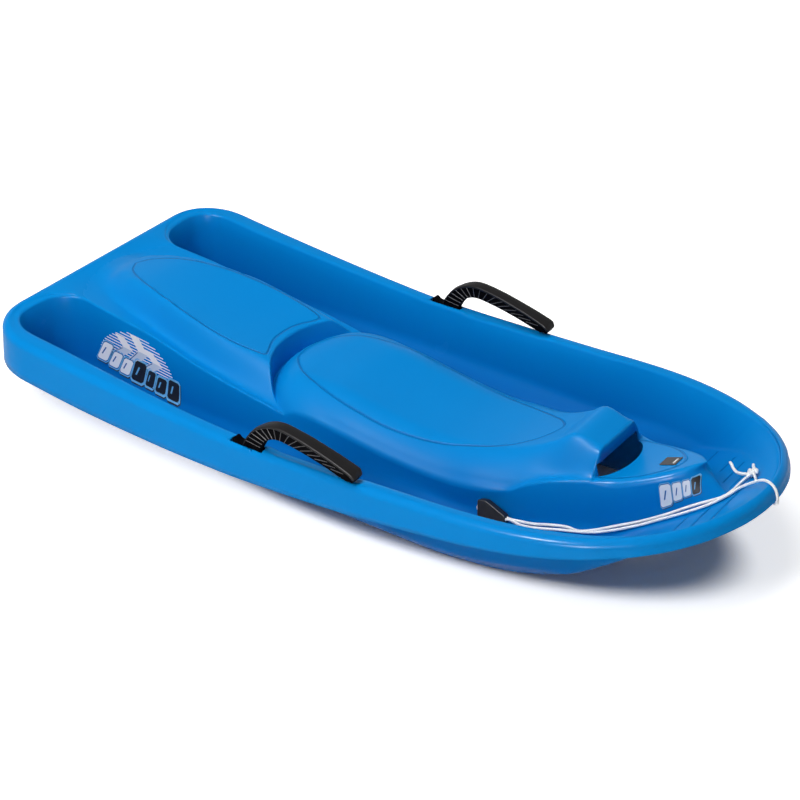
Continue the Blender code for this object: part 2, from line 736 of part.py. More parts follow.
rope_return = ((0.2850, -0.1195, 0.0500), (0.3030, -0.1110, 0.0480), (0.3250, -0.1020, 0.0500),
               (0.3480, -0.0970, 0.0530), (0.3648, -0.0932, 0.0510), (0.3865, -0.0847, 0.0566),
               (0.4111, -0.0699, 0.0650), (0.4402, -0.0568, 0.0764), (0.4704, -0.0425, 0.0916),
               (0.4995, -0.0280, 0.1103), (0.5112, -0.0208, 0.1180), (0.5215, -0.0112, 0.1228),
               (0.5290, 0.0010, 0.1262), (0.5345, 0.0165, 0.1265),
               (0.5405, 0.0345, 0.1290), (0.5450, 0.0455, 0.1335), (0.5480, 0.0520, 0.1370))

# Grip: a flat triangular handle; its outline is drawn along the bar and towards the tip
grip_place = 0.2225
grip_side_place = -0.1270
grip_height = 0.0388
grip_bar_way = Vector((-0.243, 0.331, 0.912)).normalized()
grip_tip_way = Vector((0.969, 0.033, 0.246)).normalized()
grip_bar_length = 0.049
grip_reach = 0.046
grip_thickness = 0.013
grip_edge_round = 0.0015
grip_outline_shares = ((-0.5, 0.0), (0.5, 0.0), (0.5, 0.30), (0.10, 1.0), (-0.10, 1.0), (-0.5, 0.30))
grip_route = ((0.0, 0.050, 0.0023), (0.0030, 0.040, 0.0023), (0.0090, 0.026, 0.0015),
              (0.0150, 0.013, 0.0008), (0.0182, 0.0060, 0.0005), (0.0177, 0.0010, 0.0003),
              (0.0145, -0.0018, 0.0), (0.0105, -0.0022, 0.0), (0.0065, 0.0, 0.0),
              (0.0030, 0.0019, 0.0), (0.0, 0.0026, 0.0))

# Knot of the rope, with the rope's loose tail and a short stub
knot_centre = (0.5492, 0.0556, 0.1378)
knot_half_length = 0.0085
knot_half_width = 0.0055
knot_turn = math.radians(35)
knot_rings = 10
knot_segments = 16
tail_route = ((0.5492, 0.0556, 0.1378), (0.5430, 0.0530, 0.1365), (0.5380, 0.0501, 0.1354),
              (0.5310, 0.0545, 0.1362), (0.5250, 0.0610, 0.1372), (0.5204, 0.0665, 0.1376))
stub_route = ((0.5492, 0.0556, 0.1378), (0.5480, 0.0590, 0.1430), (0.5465, 0.0625, 0.1475))

# Blank plate on the tongue's panel
label_rear_share = 0.565
label_front_share = 0.80
label_length = 0.026
label_width = 0.023
label_thickness = 0.0008


def laid(route):
    """Route points on the hull; they are drawn for one half length and move with it."""
    stretch = half_length / rope_drawn_half_length
    return [Vector((x * stretch, y, z)) for x, y, z in route]


def curve_through(points):
    """Dense points of a smooth curve through route points."""
    padded = [2 * points[0] - points[1]] + points + [2 * points[-1] - points[-2]]
    dense = []
    for before, start, end, after in zip(padded, padded[1:], padded[2:], padded[3:]):
        first, second, third = [math.sqrt((b - a).length)
                                for a, b in ((before, start), (start, end), (end, after))]
        leave = (start - before) / first - (end - before) / (first + second) + (end - start) / second
        reach = (end - start) / second - (after - start) / (second + third) + (after - end) / third
        for i in range(rope_curve_samples):
            t = i / rope_curve_samples
            hold = 2 * t ** 3 - 3 * t ** 2 + 1
            dense.append(hold * start + (1 - hold) * end
                         + second * ((t ** 3 - 2 * t ** 2 + t) * leave + (t ** 3 - t ** 2) * reach))
    dense.append(points[-1])
    return dense


def thinned(dense):
    """Fewer points of a dense curve: far apart on straight runs, closer together in bends."""
    kept = [dense[0]]
    run, turned = 0.0, 0.0
    for before, point, after in zip(dense, dense[1:], dense[2:]):
        run += (point - before).length
        turned += (point - before).angle(after - point)
        if run >= longest_rope_step or (run >= shortest_rope_step and turned >= rope_step_turn):
            kept.append(point)
            run, turned = 0.0, 0.0
    return kept[:-1] + [dense[-1]] if run < shortest_rope_step / 2 else kept + [dense[-1]]


def trimmed(dense, distance):
    """Dense curve without a stretch at each end."""
    for _ in range(2):
        gone = 0.0
        while gone < distance:
            gone += (dense[1] - dense[0]).length
            dense = dense[1:]
        dense = dense[::-1]
    return dense


def grip_point(along, ahead, across):
    """Point of the grip, from the middle of its bar's rear face."""
    third = grip_bar_way.cross(grip_tip_way)
    centre = laid([(grip_place, grip_side_place, grip_height)])[0]
    return centre + along * grip_bar_way + ahead * grip_tip_way + across * third


def rope_curve():
    """Dense points of the whole rope, from the knot round the nose and the grip to the knot."""
    first = [grip_point(-along, ahead, -across) for along, ahead, across in grip_route]
    second = [grip_point(*place) for place in reversed(grip_route[:-1])]
    return curve_through([*laid(rope_route), *first, *second, *laid(rope_return)])


def tube(name, points, radius, collection, material=None):
    """Mesh object of a tube with round section and filled ends along points."""
    data = bpy.data.curves.new(name, "CURVE")
    data.dimensions = "3D"
    data.bevel_depth = radius
    data.bevel_resolution = rope_bevel_steps
    data.use_fill_caps = True
    spline = data.splines.new("POLY")
    spline.points.add(len(points) - 1)
    for target, point in zip(spline.points, points):
        target.co = (*point, 1.0)
    curve = bpy.data.objects.new(name + "_curve", data)
    collection.objects.link(curve)
    scene_state = bpy.context.evaluated_depsgraph_get()
    scene_state.update()
    mesh = bmesh.new()
    mesh.from_mesh(bpy.data.meshes.new_from_object(curve.evaluated_get(scene_state)))
    bpy.data.objects.remove(curve)
    bmesh.ops.remove_doubles(mesh, verts=mesh.verts, dist=weld_distance)
    bmesh.ops.recalc_face_normals(mesh, faces=mesh.faces)
    return new_object(name, mesh, collection, material)


def rope_hole(cutters):
    """Cutter of the hole in the ramp that the rope passes through."""
    mesh = bmesh.new()
    centre = laid([(*rope_hole_place, 0.0)])[0]
    centre.z = floor_top(centre.x)
    bmesh.ops.create_cone(mesh, cap_ends=True, segments=round_segments, radius1=rope_hole_radius,
                          radius2=rope_hole_radius, depth=4 * cut_overrun)
    bmesh.ops.translate(mesh, vec=centre, verts=mesh.verts)
    return new_cutter("rope_hole", mesh, cutters)


def make_rope(parts, material):
    """Free rope between the two places where it enters its knot."""
    points = thinned(trimmed(rope_curve(), running_gap))
    return tube("tow_rope", points, rope_diameter / 2, parts, material)


def rope_tunnel(name, cutters):
    """Cutter of the rope's own path with clearance all round."""
    return hide_cutter(tube(name, thinned(rope_curve()), rope_diameter / 2 + running_gap, cutters))


def make_grip(parts, cutters, material):
    """Black triangular grip that the rope runs through."""
    outline = [grip_point(along * grip_bar_length, ahead * grip_reach, -grip_thickness / 2)
               for along, ahead in grip_outline_shares]
    depth = grip_thickness * grip_bar_way.cross(grip_tip_way)
    grip = new_object("tow_rope_grip", prism(outline, depth), parts, material)
    bevel = grip.modifiers.new("Bevel", "BEVEL")
    bevel.width = grip_edge_round
    bevel.segments = 1
    boolean(grip, rope_tunnel("grip_tunnel", cutters), "DIFFERENCE")
    return grip


def make_knot(parts, cutters, material):
    """Knot of the rope with its loose tail and stub."""
    mesh = bmesh.new()
    bmesh.ops.create_uvsphere(mesh, u_segments=knot_segments, v_segments=knot_rings, radius=1.0)
    bmesh.ops.scale(mesh, vec=(knot_half_length, knot_half_width, knot_half_width), verts=mesh.verts)
    bmesh.ops.rotate(mesh, matrix=Matrix.Rotation(knot_turn, 3, "Z"), verts=mesh.verts)
    bmesh.ops.translate(mesh, vec=laid([knot_centre])[0], verts=mesh.verts)
    knot = new_object("tow_rope_knot", mesh, parts, material)
    for name, route in (("knot_tail", tail_route), ("knot_stub", stub_route)):
        piece = tube(name, thinned(curve_through(laid(route))), rope_diameter / 2, cutters)
        boolean(knot, hide_cutter(piece), "UNION")
    boolean(knot, rope_tunnel("knot_tunnel", cutters), "DIFFERENCE")
    return knot


def make_label(parts, material):
    """Blank plate that lies on the flat panel of the tongue."""
    stations = console_stations()[-len(tongue_station_shares):]
    rear = stations[tongue_station_shares.index(label_rear_share)]
    front = stations[tongue_station_shares.index(label_front_share)]
    start, end = console_point(rear, 0.0), console_point(front, 0.0)
    middle = (start + end) / 2
    slope = math.atan2(end.z - start.z, end.x - start.x)
    mesh = block((-label_length / 2, -label_width / 2, running_gap),
                 (label_length / 2, label_width / 2, running_gap + label_thickness))
    bmesh.ops.rotate(mesh, matrix=Matrix.Rotation(-slope, 3, "Y"), verts=mesh.verts)
    label = new_object("nose_label", mesh, parts, material)
    label.location = middle
    return label


def make_hull(parts, cutters, material):
    """The one-piece moulded hull: sheet, mirrored, thickened and cut."""
    hull = new_object("hull", build_half_sheet(), parts, material)
    mirror = hull.modifiers.new("Mirror", "MIRROR")
    mirror.use_axis = (False, True, False)
    mirror.merge_threshold = weld_distance
    thicken = hull.modifiers.new("Solidify", "SOLIDIFY")
    thicken.thickness = sheet_thickness
    thicken.offset = -1.0
    thicken.use_even_offset = True
    thicken.use_quality_normals = True
    boolean(hull, hand_hole(cutters), "DIFFERENCE")
    boolean(hull, rope_hole(cutters), "DIFFERENCE")
    for side in (1, -1):
        for cutter, operation in pivot_cutters(side, cutters):
            boolean(hull, cutter, operation)
    return hull


def main():
    """Build every piece of the sled."""
    for thing in list(bpy.data.objects):
        bpy.data.objects.remove(thing)
    parts = bpy.data.collections.new("plastic_sled")
    cutters = bpy.data.collections.new("cutters")
    bpy.context.scene.collection.children.link(parts)
    bpy.context.scene.collection.children.link(cutters)
    blue = new_material("blue_plastic", (0.0, 0.19, 0.62), 0.35)
    black = new_material("black_plastic", (0.02, 0.02, 0.022), 0.45)
    steel = new_material("steel", (0.55, 0.55, 0.57), 0.3, 1.0)
    white = new_material("white_rope", (0.85, 0.86, 0.85), 0.8)
    grey = new_material("grey_plate", (0.09, 0.09, 0.10), 0.5)
    make_hull(parts, cutters, blue)
    make_rope(parts, white)
    make_knot(parts, cutters, white)
    make_grip(parts, cutters, black)
    make_label(parts, grey)
    for name, side in (("left", 1), ("right", -1)):
        make_brake_lever(name + "_brake_lever", side, parts, cutters, black)
        make_pivot_pin(name + "_pivot_pin", side, parts, steel)


main()
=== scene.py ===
"""Plastic two-seat sled with hand brakes and a tow rope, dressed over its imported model."""

import math

import bmesh
import bpy
import numpy as np
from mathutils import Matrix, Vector
from mathutils.bvhtree import BVHTree


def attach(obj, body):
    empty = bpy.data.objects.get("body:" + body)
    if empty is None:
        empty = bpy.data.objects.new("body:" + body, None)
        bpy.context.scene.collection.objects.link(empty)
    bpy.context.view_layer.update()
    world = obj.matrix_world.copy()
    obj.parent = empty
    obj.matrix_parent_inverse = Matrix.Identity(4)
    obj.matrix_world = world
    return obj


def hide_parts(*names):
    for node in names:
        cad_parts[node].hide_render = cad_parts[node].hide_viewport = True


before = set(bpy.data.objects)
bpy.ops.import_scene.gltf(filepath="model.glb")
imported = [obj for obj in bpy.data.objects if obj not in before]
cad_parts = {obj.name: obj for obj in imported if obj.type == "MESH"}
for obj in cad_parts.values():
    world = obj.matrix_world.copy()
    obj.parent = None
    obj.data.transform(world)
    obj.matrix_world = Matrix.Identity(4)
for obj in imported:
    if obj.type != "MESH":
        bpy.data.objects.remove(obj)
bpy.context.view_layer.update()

# The picture is taken with a long lens, from well above the sled's right front corner.
camera_lens = 93.375
camera_sensor_width = 36.0
camera_place = (1.5233, -2.1660, 1.7217)
camera_angles = (58.331, 0.0, 35.206)
camera_data = bpy.data.cameras.new("camera")
camera_data.sensor_width = camera_sensor_width
camera_data.lens = camera_lens
camera = bpy.data.objects.new("camera", camera_data)
camera.location = camera_place
camera.rotation_euler = [math.radians(angle) for angle in camera_angles]
bpy.context.scene.collection.objects.link(camera)
bpy.context.scene.camera = camera

# Tow rope: one length of thin white braided cord, pushed up through a hole in the ramp, taken
# round the nose, through the black grip and back, with its two ends tied in one knot.
rope_diameter = 0.004
rope_point_step = 0.0012
rope_curve_steps = 12
rope_around = 16
dome_least_share = 0.12
rope_yarns = 8.0
rope_braid_pitch = 0.0052
rope_colour = (0.93, 0.93, 0.92)
# Painted shade in the braid's crevices: the grey that the white cord is mixed towards there.
rope_painted_shade_colour = (0.66, 0.68, 0.70)
rope_painted_shade_share = 0.55
rope_roughness = 0.75
rope_specular = 0.3
rope_sheen = 0.15
rope_relief = 0.0004
rope_relief_strength = 0.8
yarn_height_power = 0.6
yarn_crevice_power = 1.5
rope_start_route = ((0.5505, 0.0540, 0.1395), (0.5540, 0.0503, 0.1402), (0.5580, 0.0457, 0.1405),
                    (0.5609, 0.0423, 0.1384), (0.5622, 0.0407, 0.1335), (0.5642, 0.0385, 0.1290),
                    (0.5695, 0.0338, 0.1268), (0.5800, 0.0255, 0.1288), (0.5945, 0.0140, 0.1342),
                    (0.6062, 0.0055, 0.1381), (0.6127, 0.0012, 0.1426), (0.6136, 0.0002, 0.1490),
                    (0.6118, 0.0012, 0.1552), (0.6074, 0.0036, 0.1616), (0.6005, 0.0066, 0.1652),
                    (0.5925, 0.0090, 0.1660), (0.5840, 0.0118, 0.1632), (0.5738, 0.0158, 0.1550),
                    (0.5615, 0.0195, 0.1442), (0.5500, 0.0150, 0.1355), (0.5435, -0.0010, 0.1312),
                    (0.5300, -0.0225, 0.1240), (0.5065, -0.0400, 0.1112), (0.4750, -0.0545, 0.0945),
                    (0.4445, -0.0643, 0.0770), (0.4155, -0.0760, 0.0640), (0.3915, -0.0905, 0.0580),
                    (0.3680, -0.0980, 0.0535), (0.3450, -0.1030, 0.0500), (0.3205, -0.1095, 0.0460),
                    (0.3000, -0.1180, 0.0455), (0.2850, -0.1245, 0.0480))
rope_return_route = ((0.2850, -0.1195, 0.0500), (0.3030, -0.1110, 0.0480), (0.3250, -0.1020, 0.0500),
                     (0.3480, -0.0970, 0.0530), (0.3648, -0.0932, 0.0510), (0.3865, -0.0847, 0.0566),
                     (0.4100, -0.0725, 0.0655), (0.4392, -0.0600, 0.0775), (0.4700, -0.0475, 0.0935),
                     (0.5000, -0.0345, 0.1120), (0.5130, -0.0265, 0.1185), (0.5260, -0.0170, 0.1235),
                     (0.5370, -0.0050, 0.1275), (0.5420, 0.0120, 0.1300), (0.5430, 0.0330, 0.1312),
                     (0.5450, 0.0455, 0.1335), (0.5480, 0.0520, 0.1370))
grip_place = Vector((0.2225, -0.1270, 0.0388))
grip_bar_way = Vector((-0.243, 0.331, 0.912)).normalized()
grip_tip_way = Vector((0.969, 0.033, 0.246)).normalized()
grip_side_way = grip_bar_way.cross(grip_tip_way)
grip_rope_route = ((0.0, 0.050, 0.0023), (0.0030, 0.040, 0.0023), (0.0090, 0.026, 0.0015),
                   (0.0150, 0.013, 0.0008), (0.0182, 0.0060, 0.0005), (0.0177, 0.0010, 0.0003),
                   (0.0145, -0.0018, 0.0), (0.0105, -0.0022, 0.0), (0.0065, 0.0, 0.0),
                   (0.0030, 0.0019, 0.0), (0.0, 0.0026, 0.0))


def mix(a, b, share):
    """Value between a and b."""
    return a + (b - a) * share


def ease(t):
    """Smooth step from 0 to 1."""
    t = min(max(t, 0.0), 1.0)
    return t * t * (3 - 2 * t)


def hermite(start, end, leave, reach, span, t):
    """Point at t between start and end, from the slopes at both and the length of the span."""
    hold = 2 * t ** 3 - 3 * t ** 2 + 1
    return (hold * start + (1 - hold) * end
            + span * ((t ** 3 - 2 * t ** 2 + t) * leave + (t ** 3 - t ** 2) * reach))


def curve_between(before, start, end, after, t):
    """Point of a smooth curve between start and end, with spans weighed by their lengths."""
    spans = [math.sqrt(max((b - a).length, 1e-6)) for a, b in ((before, start), (start, end), (end, after))]
    first, second, third = spans
    leave = (start - before) / first - (end - before) / (first + second) + (end - start) / second
    reach = (end - start) / second - (after - start) / (second + third) + (after - end) / third
    return hermite(start, end, leave, reach, second, t)


def curve_through(points, steps):
    """Dense points of a smooth curve through route points."""
    padded = [2 * points[0] - points[1], *points, 2 * points[-1] - points[-2]]
    dense = [curve_between(*padded[i:i + 4], step / steps)
             for i in range(len(points) - 1) for step in range(steps)]
    return [*dense, points[-1]]


def even_points(points, step):
    """The same line with points an even step apart."""
    line = np.array([tuple(point) for point in points])
    run = np.concatenate([[0.0], np.cumsum(np.linalg.norm(np.diff(line, axis=0), axis=1))])
    count = max(2, int(round(run[-1] / step)) + 1)
    places = np.linspace(0.0, run[-1], count)
    even = np.stack([np.interp(places, run, line[:, i]) for i in range(3)], axis=1)
    return [Vector(point) for point in even]


def run_lengths(points):
    """Length along points up to each of them."""
    return np.concatenate([[0.0], np.cumsum([(b - a).length for a, b in zip(points, points[1:])])])


def new_piece(name, mesh, materials, smooth=True):
    """Object of a bmesh, with its place in its mesh."""
    data = bpy.data.meshes.new(name)
    mesh.to_mesh(data)
    mesh.free()
    for material in materials:
        data.materials.append(material)
    if smooth:
        data.shade_smooth()
    piece = bpy.data.objects.new(name, data)
    bpy.context.scene.collection.objects.link(piece)
    return piece


def add_tube(mesh, points, radii, around, uv_layer=None):
    """Closed round tube along points, a radius at each; its UV is turns round and metres along."""
    normal = (points[1] - points[0]).orthogonal().normalized()
    runs = run_lengths(points)
    rings = []
    for i, point in enumerate(points):
        way = (points[min(i + 1, len(points) - 1)] - points[max(i - 1, 0)]).normalized()
        normal = (normal - way * normal.dot(way)).normalized()
        third = way.cross(normal)
        turns = [2 * math.pi * k / around for k in range(around)]
        ring = [mesh.verts.new(point + (normal * math.cos(turn) + third * math.sin(turn)) * radii[i])
                for turn in turns]
        rings.append((ring, runs[i]))
    for (ring, start), (other, end) in zip(rings, rings[1:]):
        for k in range(around):
            face = mesh.faces.new((ring[k], ring[(k + 1) % around], other[(k + 1) % around], other[k]))
            face.smooth = True
            if uv_layer:
                near, far = k / around, (k + 1) / around
                for loop, place in zip(face.loops, ((near, start), (far, start), (far, end), (near, end))):
                    loop[uv_layer].uv = place
    for (ring, place), turned in ((rings[0], True), (rings[-1], False)):
        face = mesh.faces.new(list(reversed(ring)) if turned else ring)
        if uv_layer:
            for loop in face.loops:
                loop[uv_layer].uv = (0.0, place)


def domed_radii(points, radius, dome):
    """Radii along a cord, closed at both ends like a dome."""
    runs = run_lengths(points)
    shares = np.minimum(np.minimum(runs, runs[-1] - runs) / dome, 1.0)
    return [radius * max(math.sqrt(max(1 - (1 - share) ** 2, 0.0)), dome_least_share)
            for share in shares]


def feed(tree, node, values):
    """Put other nodes' sockets or plain values into a node's inputs; a colour gets full alpha."""
    for label, value in values.items():
        socket = node.inputs[label]
        if isinstance(value, bpy.types.NodeSocket):
            tree.links.new(value, socket)
        else:
            socket.default_value = (*value, 1.0) if socket.type == "RGBA" else value


def add_node(tree, kind, values, **settings):
    """Node with its settings and its inputs."""
    node = tree.nodes.new(kind)
    for label, setting in settings.items():
        setattr(node, label, setting)
    feed(tree, node, values)
    return node


def new_material(name, colour, roughness, metallic=0.0, specular=0.5):
    """Principled material with plain starting values."""
    material = bpy.data.materials.new(name)
    material.use_nodes = True
    shader = material.node_tree.nodes["Principled BSDF"]
    feed(material.node_tree, shader, {"Base Color": colour, "Roughness": roughness,
                                      "Metallic": metallic, "Specular IOR Level": specular})
    return material, material.node_tree, shader


def add_math(tree, operation, *values, clamp=False):
    """Math node fed by sockets or numbers; its output socket."""
    return add_node(tree, "ShaderNodeMath", dict(enumerate(values)),
                    operation=operation, use_clamp=clamp).outputs[0]


def add_bump(tree, shader, height, distance, strength):
    """Relief of a material from a height."""
    bump = add_node(tree, "ShaderNodeBump",
                    {"Height": height, "Distance": distance, "Strength": strength})
    feed(tree, shader, {"Normal": bump.outputs["Normal"]})


def blend_colours(tree, first, second, share):
    """Mix of two colours by a share; sockets or plain colours."""
    return add_node(tree, "ShaderNodeMix", {"A": first, "B": second, "Factor": share},
                    data_type="RGBA").outputs["Result"]


def new_group(name, inputs, outputs):
    """Empty shader node group, and its input and output nodes; a vector input has no default."""
    group = bpy.data.node_groups.new(name, "ShaderNodeTree")
    for label, default in inputs.items():
        kind = "NodeSocketVector" if default is None else "NodeSocketFloat"
        socket = group.interface.new_socket(label, in_out="INPUT", socket_type=kind)
        if default is not None:
            socket.default_value = default
    for label in outputs:
        group.interface.new_socket(label, in_out="OUTPUT", socket_type="NodeSocketFloat")
    return group, group.nodes.new("NodeGroupInput"), group.nodes.new("NodeGroupOutput")


def add_group(tree, group, **values):
    """Group placed in a material with its own values."""
    node = add_node(tree, "ShaderNodeGroup", {}, node_tree=group)
    feed(tree, node, {label.replace("_", " "): value for label, value in values.items()})
    return node


def braid_group():
    """Over and under of the cord's yarns, from its UV: turns round and metres along."""
    group, given, put = new_group("cord_braid", {"Vector": None, "Yarns": 8.0, "Pitch": 0.005},
                                  ("Height", "Crevice"))
    split = add_node(group, "ShaderNodeSeparateXYZ", {0: given.outputs["Vector"]})
    round_part = add_math(group, "MULTIPLY", split.outputs["X"], given.outputs["Yarns"])
    along_part = add_math(group, "DIVIDE", split.outputs["Y"], given.outputs["Pitch"])
    waves = []
    for operation in ("ADD", "SUBTRACT"):
        mixed = add_math(group, operation, round_part, along_part)
        turned = add_math(group, "MULTIPLY", mixed, math.pi)
        waves.append(add_math(group, "ABSOLUTE", add_math(group, "SINE", turned)))
    height = add_math(group, "MAXIMUM", *waves)
    crevice = add_math(group, "SUBTRACT", 1.0, add_math(group, "POWER", height, yarn_crevice_power))
    feed(group, put, {"Height": add_math(group, "POWER", height, yarn_height_power), "Crevice": crevice})
    return group


def cord_material():
    """White braided synthetic cord: a fine braid, fuzzy sheen and painted shade that greys its crevices."""
    material, tree, shader = new_material("white_cord", rope_colour, rope_roughness,
                                          specular=rope_specular)
    uv = add_node(tree, "ShaderNodeUVMap", {}, uv_map="cord")
    braid = add_group(tree, braid_group(), Vector=uv.outputs["UV"], Yarns=rope_yarns / 2,
                      Pitch=rope_braid_pitch)
    # Painted shade: the braid's crevices are greyed.
    shade = add_math(tree, "MULTIPLY", braid.outputs["Crevice"], rope_painted_shade_share)
    feed(tree, shader, {"Base Color": blend_colours(tree, rope_colour, rope_painted_shade_colour, shade),
                        "Sheen Weight": rope_sheen})
    add_bump(tree, shader, braid.outputs["Height"], rope_relief, rope_relief_strength)
    return material


def on_grip(along, ahead, across):
    """Point of the grip, from the middle of its bar's rear face."""
    return grip_place + along * grip_bar_way + ahead * grip_tip_way + across * grip_side_way


grip_in = [on_grip(-along, ahead, -across) for along, ahead, across in grip_rope_route]
grip_out = [on_grip(*place) for place in reversed(grip_rope_route[:-1])]
rope_route = [*map(Vector, rope_start_route), *grip_in, *grip_out, *map(Vector, rope_return_route)]
rope_line = even_points(curve_through(rope_route, rope_curve_steps), rope_point_step)
rope_mesh = bmesh.new()
rope_uv = rope_mesh.loops.layers.uv.new("cord")
rope_radii = domed_radii(rope_line, rope_diameter / 2, rope_diameter / 2)
add_tube(rope_mesh, rope_line, rope_radii, rope_around, rope_uv)
white_cord = cord_material()
rope = new_piece("rope_braided", rope_mesh, [white_cord])
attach(rope, "body")
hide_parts("tow_rope")

# Knot: both rope ends wound three times round each other and pulled tight, which leaves a
# loose tail on the ramp and a short stub that stands up.
knot_centre = Vector((0.5492, 0.0556, 0.1378))
knot_heading = math.radians(35)
knot_axis = Vector((math.cos(knot_heading), math.sin(knot_heading), 0.0))
knot_turns = 2.75
knot_turn_steps = 10
knot_first_angle = math.radians(250)
knot_curve_steps = 6
knot_core_reach = 0.0055
knot_core_dome = 0.003
knot_wrap_radius = 0.0042
knot_cord_radius = 0.0021
knot_wrap_pitch = 0.0039
knot_tail = ((0.5108, 0.0618, 0.1382), (0.5160, 0.0580, 0.1376), (0.5215, 0.0525, 0.1366),
             (0.5290, 0.0478, 0.1358), (0.5370, 0.0480, 0.1358), (0.5425, 0.0500, 0.1362))
knot_crossing = ((0.5528, 0.0618, 0.1405), (0.5500, 0.0590, 0.1435), (0.5477, 0.0603, 0.1452),
                 (0.5465, 0.0625, 0.1487))
knot_side = Vector((0.0, 0.0, 1.0)).cross(knot_axis).normalized()
knot_up = knot_axis.cross(knot_side)
knot_points = [Vector(point) for point in knot_tail]
for step in range(int(knot_turns * knot_turn_steps) + 1):
    turn = step / knot_turn_steps
    angle = knot_first_angle + 2 * math.pi * turn
    along = (turn - knot_turns / 2) * knot_wrap_pitch
    spoke = knot_side * math.cos(angle) + knot_up * math.sin(angle)
    knot_points.append(knot_centre + knot_axis * along + spoke * knot_wrap_radius)
knot_points += [Vector(point) for point in knot_crossing]
knot_line = even_points(curve_through(knot_points, knot_curve_steps), rope_point_step / 2)
knot_mesh = bmesh.new()
knot_uv = knot_mesh.loops.layers.uv.new("cord")
knot_radii = domed_radii(knot_line, knot_cord_radius, knot_cord_radius)
add_tube(knot_mesh, knot_line, knot_radii, rope_around, knot_uv)
knot_core = [knot_centre + knot_axis * share * knot_core_reach for share in (-1.0, -0.5, 0.0, 0.5, 1.0)]
core_radii = domed_radii(knot_core, knot_wrap_radius, knot_core_dome)
add_tube(knot_mesh, knot_core, core_radii, rope_around, knot_uv)
knot = new_piece("rope_knot", knot_mesh, [white_cord])
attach(knot, "body")
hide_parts("tow_rope_knot")

# Grip: a small black pull handle, a flat moulded triangle that the rope runs through. Its
# corners and edges are well rounded, and the rope lies in a slot of its bar.
grip_bar_length = 0.049
grip_reach = 0.046
grip_thickness = 0.013
grip_corner_radius = 0.0035
grip_edge_radius = 0.0014
grip_tunnel_radius = 0.0025
grip_tunnel_step = 0.002
grip_tunnel_around = 12
grip_tunnel_curve_steps = 6
corner_most_share = 0.45
hard_edge_angle = math.radians(30)
grip_outline_shares = ((-0.5, 0.0), (0.5, 0.0), (0.5, 0.30), (0.10, 1.0), (-0.10, 1.0), (-0.5, 0.30))
black_colour = (0.008, 0.008, 0.009)
black_worn_colour = (0.015, 0.014, 0.015)
black_roughness = (0.34, 0.52)
black_waves = (0.0006, 0.012, 0.6)
black_relief = 0.00012
plastic_specular = 0.45
plastic_waves = (0.0007, 0.016, 0.5)
plastic_relief = 0.00009
plastic_relief_strength = 0.5
grain_detail = 2.0


def grain_group():
    """Fine moulded grain and slow waves of a plastic surface, from Object coordinates."""
    group, given, put = new_group("moulded_grain", {"Grain Size": 0.0008, "Wave Size": 0.03,
                                                    "Grain Share": 1.0, "Wave Share": 0.3},
                                  ("Height", "Mottle"))
    place = group.nodes.new("ShaderNodeTexCoord")
    heights = []
    for size, share in (("Grain Size", "Grain Share"), ("Wave Size", "Wave Share")):
        scale = add_math(group, "DIVIDE", 1.0, given.outputs[size])
        noise = add_node(group, "ShaderNodeTexNoise",
                         {"Vector": place.outputs["Object"], "Scale": scale, "Detail": grain_detail})
        heights.append(add_math(group, "MULTIPLY", noise.outputs["Fac"], given.outputs[share]))
    feed(group, put, {"Height": add_math(group, "ADD", *heights), "Mottle": noise.outputs["Fac"]})
    return group


moulded_grain = grain_group()


def add_range(tree, value, low, high, start=0.0, end=1.0, curve="LINEAR"):
    """Value between start and end turned into one between low and high; its output socket."""
    return add_node(tree, "ShaderNodeMapRange", {"Value": value, "From Min": start, "From Max": end,
                                                 "To Min": low, "To Max": high},
                    interpolation_type=curve).outputs["Result"]


def plain_plastic(name, colour, worn_colour, roughness, specular=plastic_specular,
                  waves=plastic_waves, relief=plastic_relief):
    """Moulded plastic of a colour with a fine grain and a roughness that wanders a little."""
    material, tree, shader = new_material(name, colour, roughness[0], specular=specular)
    grain_size, wave_size, wave_share = waves
    grain = add_group(tree, moulded_grain, Grain_Size=grain_size, Wave_Size=wave_size,
                      Wave_Share=wave_share)
    mottle = grain.outputs["Mottle"]
    add_bump(tree, shader, grain.outputs["Height"], relief, plastic_relief_strength)
    feed(tree, shader, {"Base Color": blend_colours(tree, colour, worn_colour, mottle),
                        "Roughness": add_range(tree, mottle, *roughness)})
    return material


def loft(sections):
    """Closed body through rings of equal point counts, with flat ends."""
    mesh = bmesh.new()
    rings = [[mesh.verts.new(point) for point in ring] for ring in sections]
    for first, second in zip(rings, rings[1:]):
        for i in range(len(first)):
            j = (i + 1) % len(first)
            mesh.faces.new((first[i], first[j], second[j], second[i]))
    mesh.faces.new(list(reversed(rings[0])))
    mesh.faces.new(rings[-1])
    bmesh.ops.recalc_face_normals(mesh, faces=mesh.faces)
    return mesh


def prism(outline, depth):
    """Mesh of a flat outline pushed along a depth vector, faces out."""
    return loft([outline, [point + depth for point in outline]])


def rounded_corner(before, corner, after, radius, steps=4):
    """Points of a rounded corner between two straight runs."""
    back, ahead = before - corner, after - corner
    start = corner + back.normalized() * min(radius, back.length * corner_most_share)
    end = corner + ahead.normalized() * min(radius, ahead.length * corner_most_share)
    return [start * (1 - t) ** 2 + corner * 2 * t * (1 - t) + end * t * t
            for t in (step / steps for step in range(steps + 1))]


def round_outline(points, radius, steps=5):
    """Flat outline with every corner rounded."""
    ring = [points[-1], *points, points[0]]
    return [point for i in range(len(points)) for point in rounded_corner(*ring[i:i + 3], radius, steps)]


def settle(piece):
    """Apply a piece's modifiers to its mesh."""
    state = bpy.context.evaluated_depsgraph_get()
    state.update()
    data = bpy.data.meshes.new_from_object(piece.evaluated_get(state))
    piece.modifiers.clear()
    piece.data = data


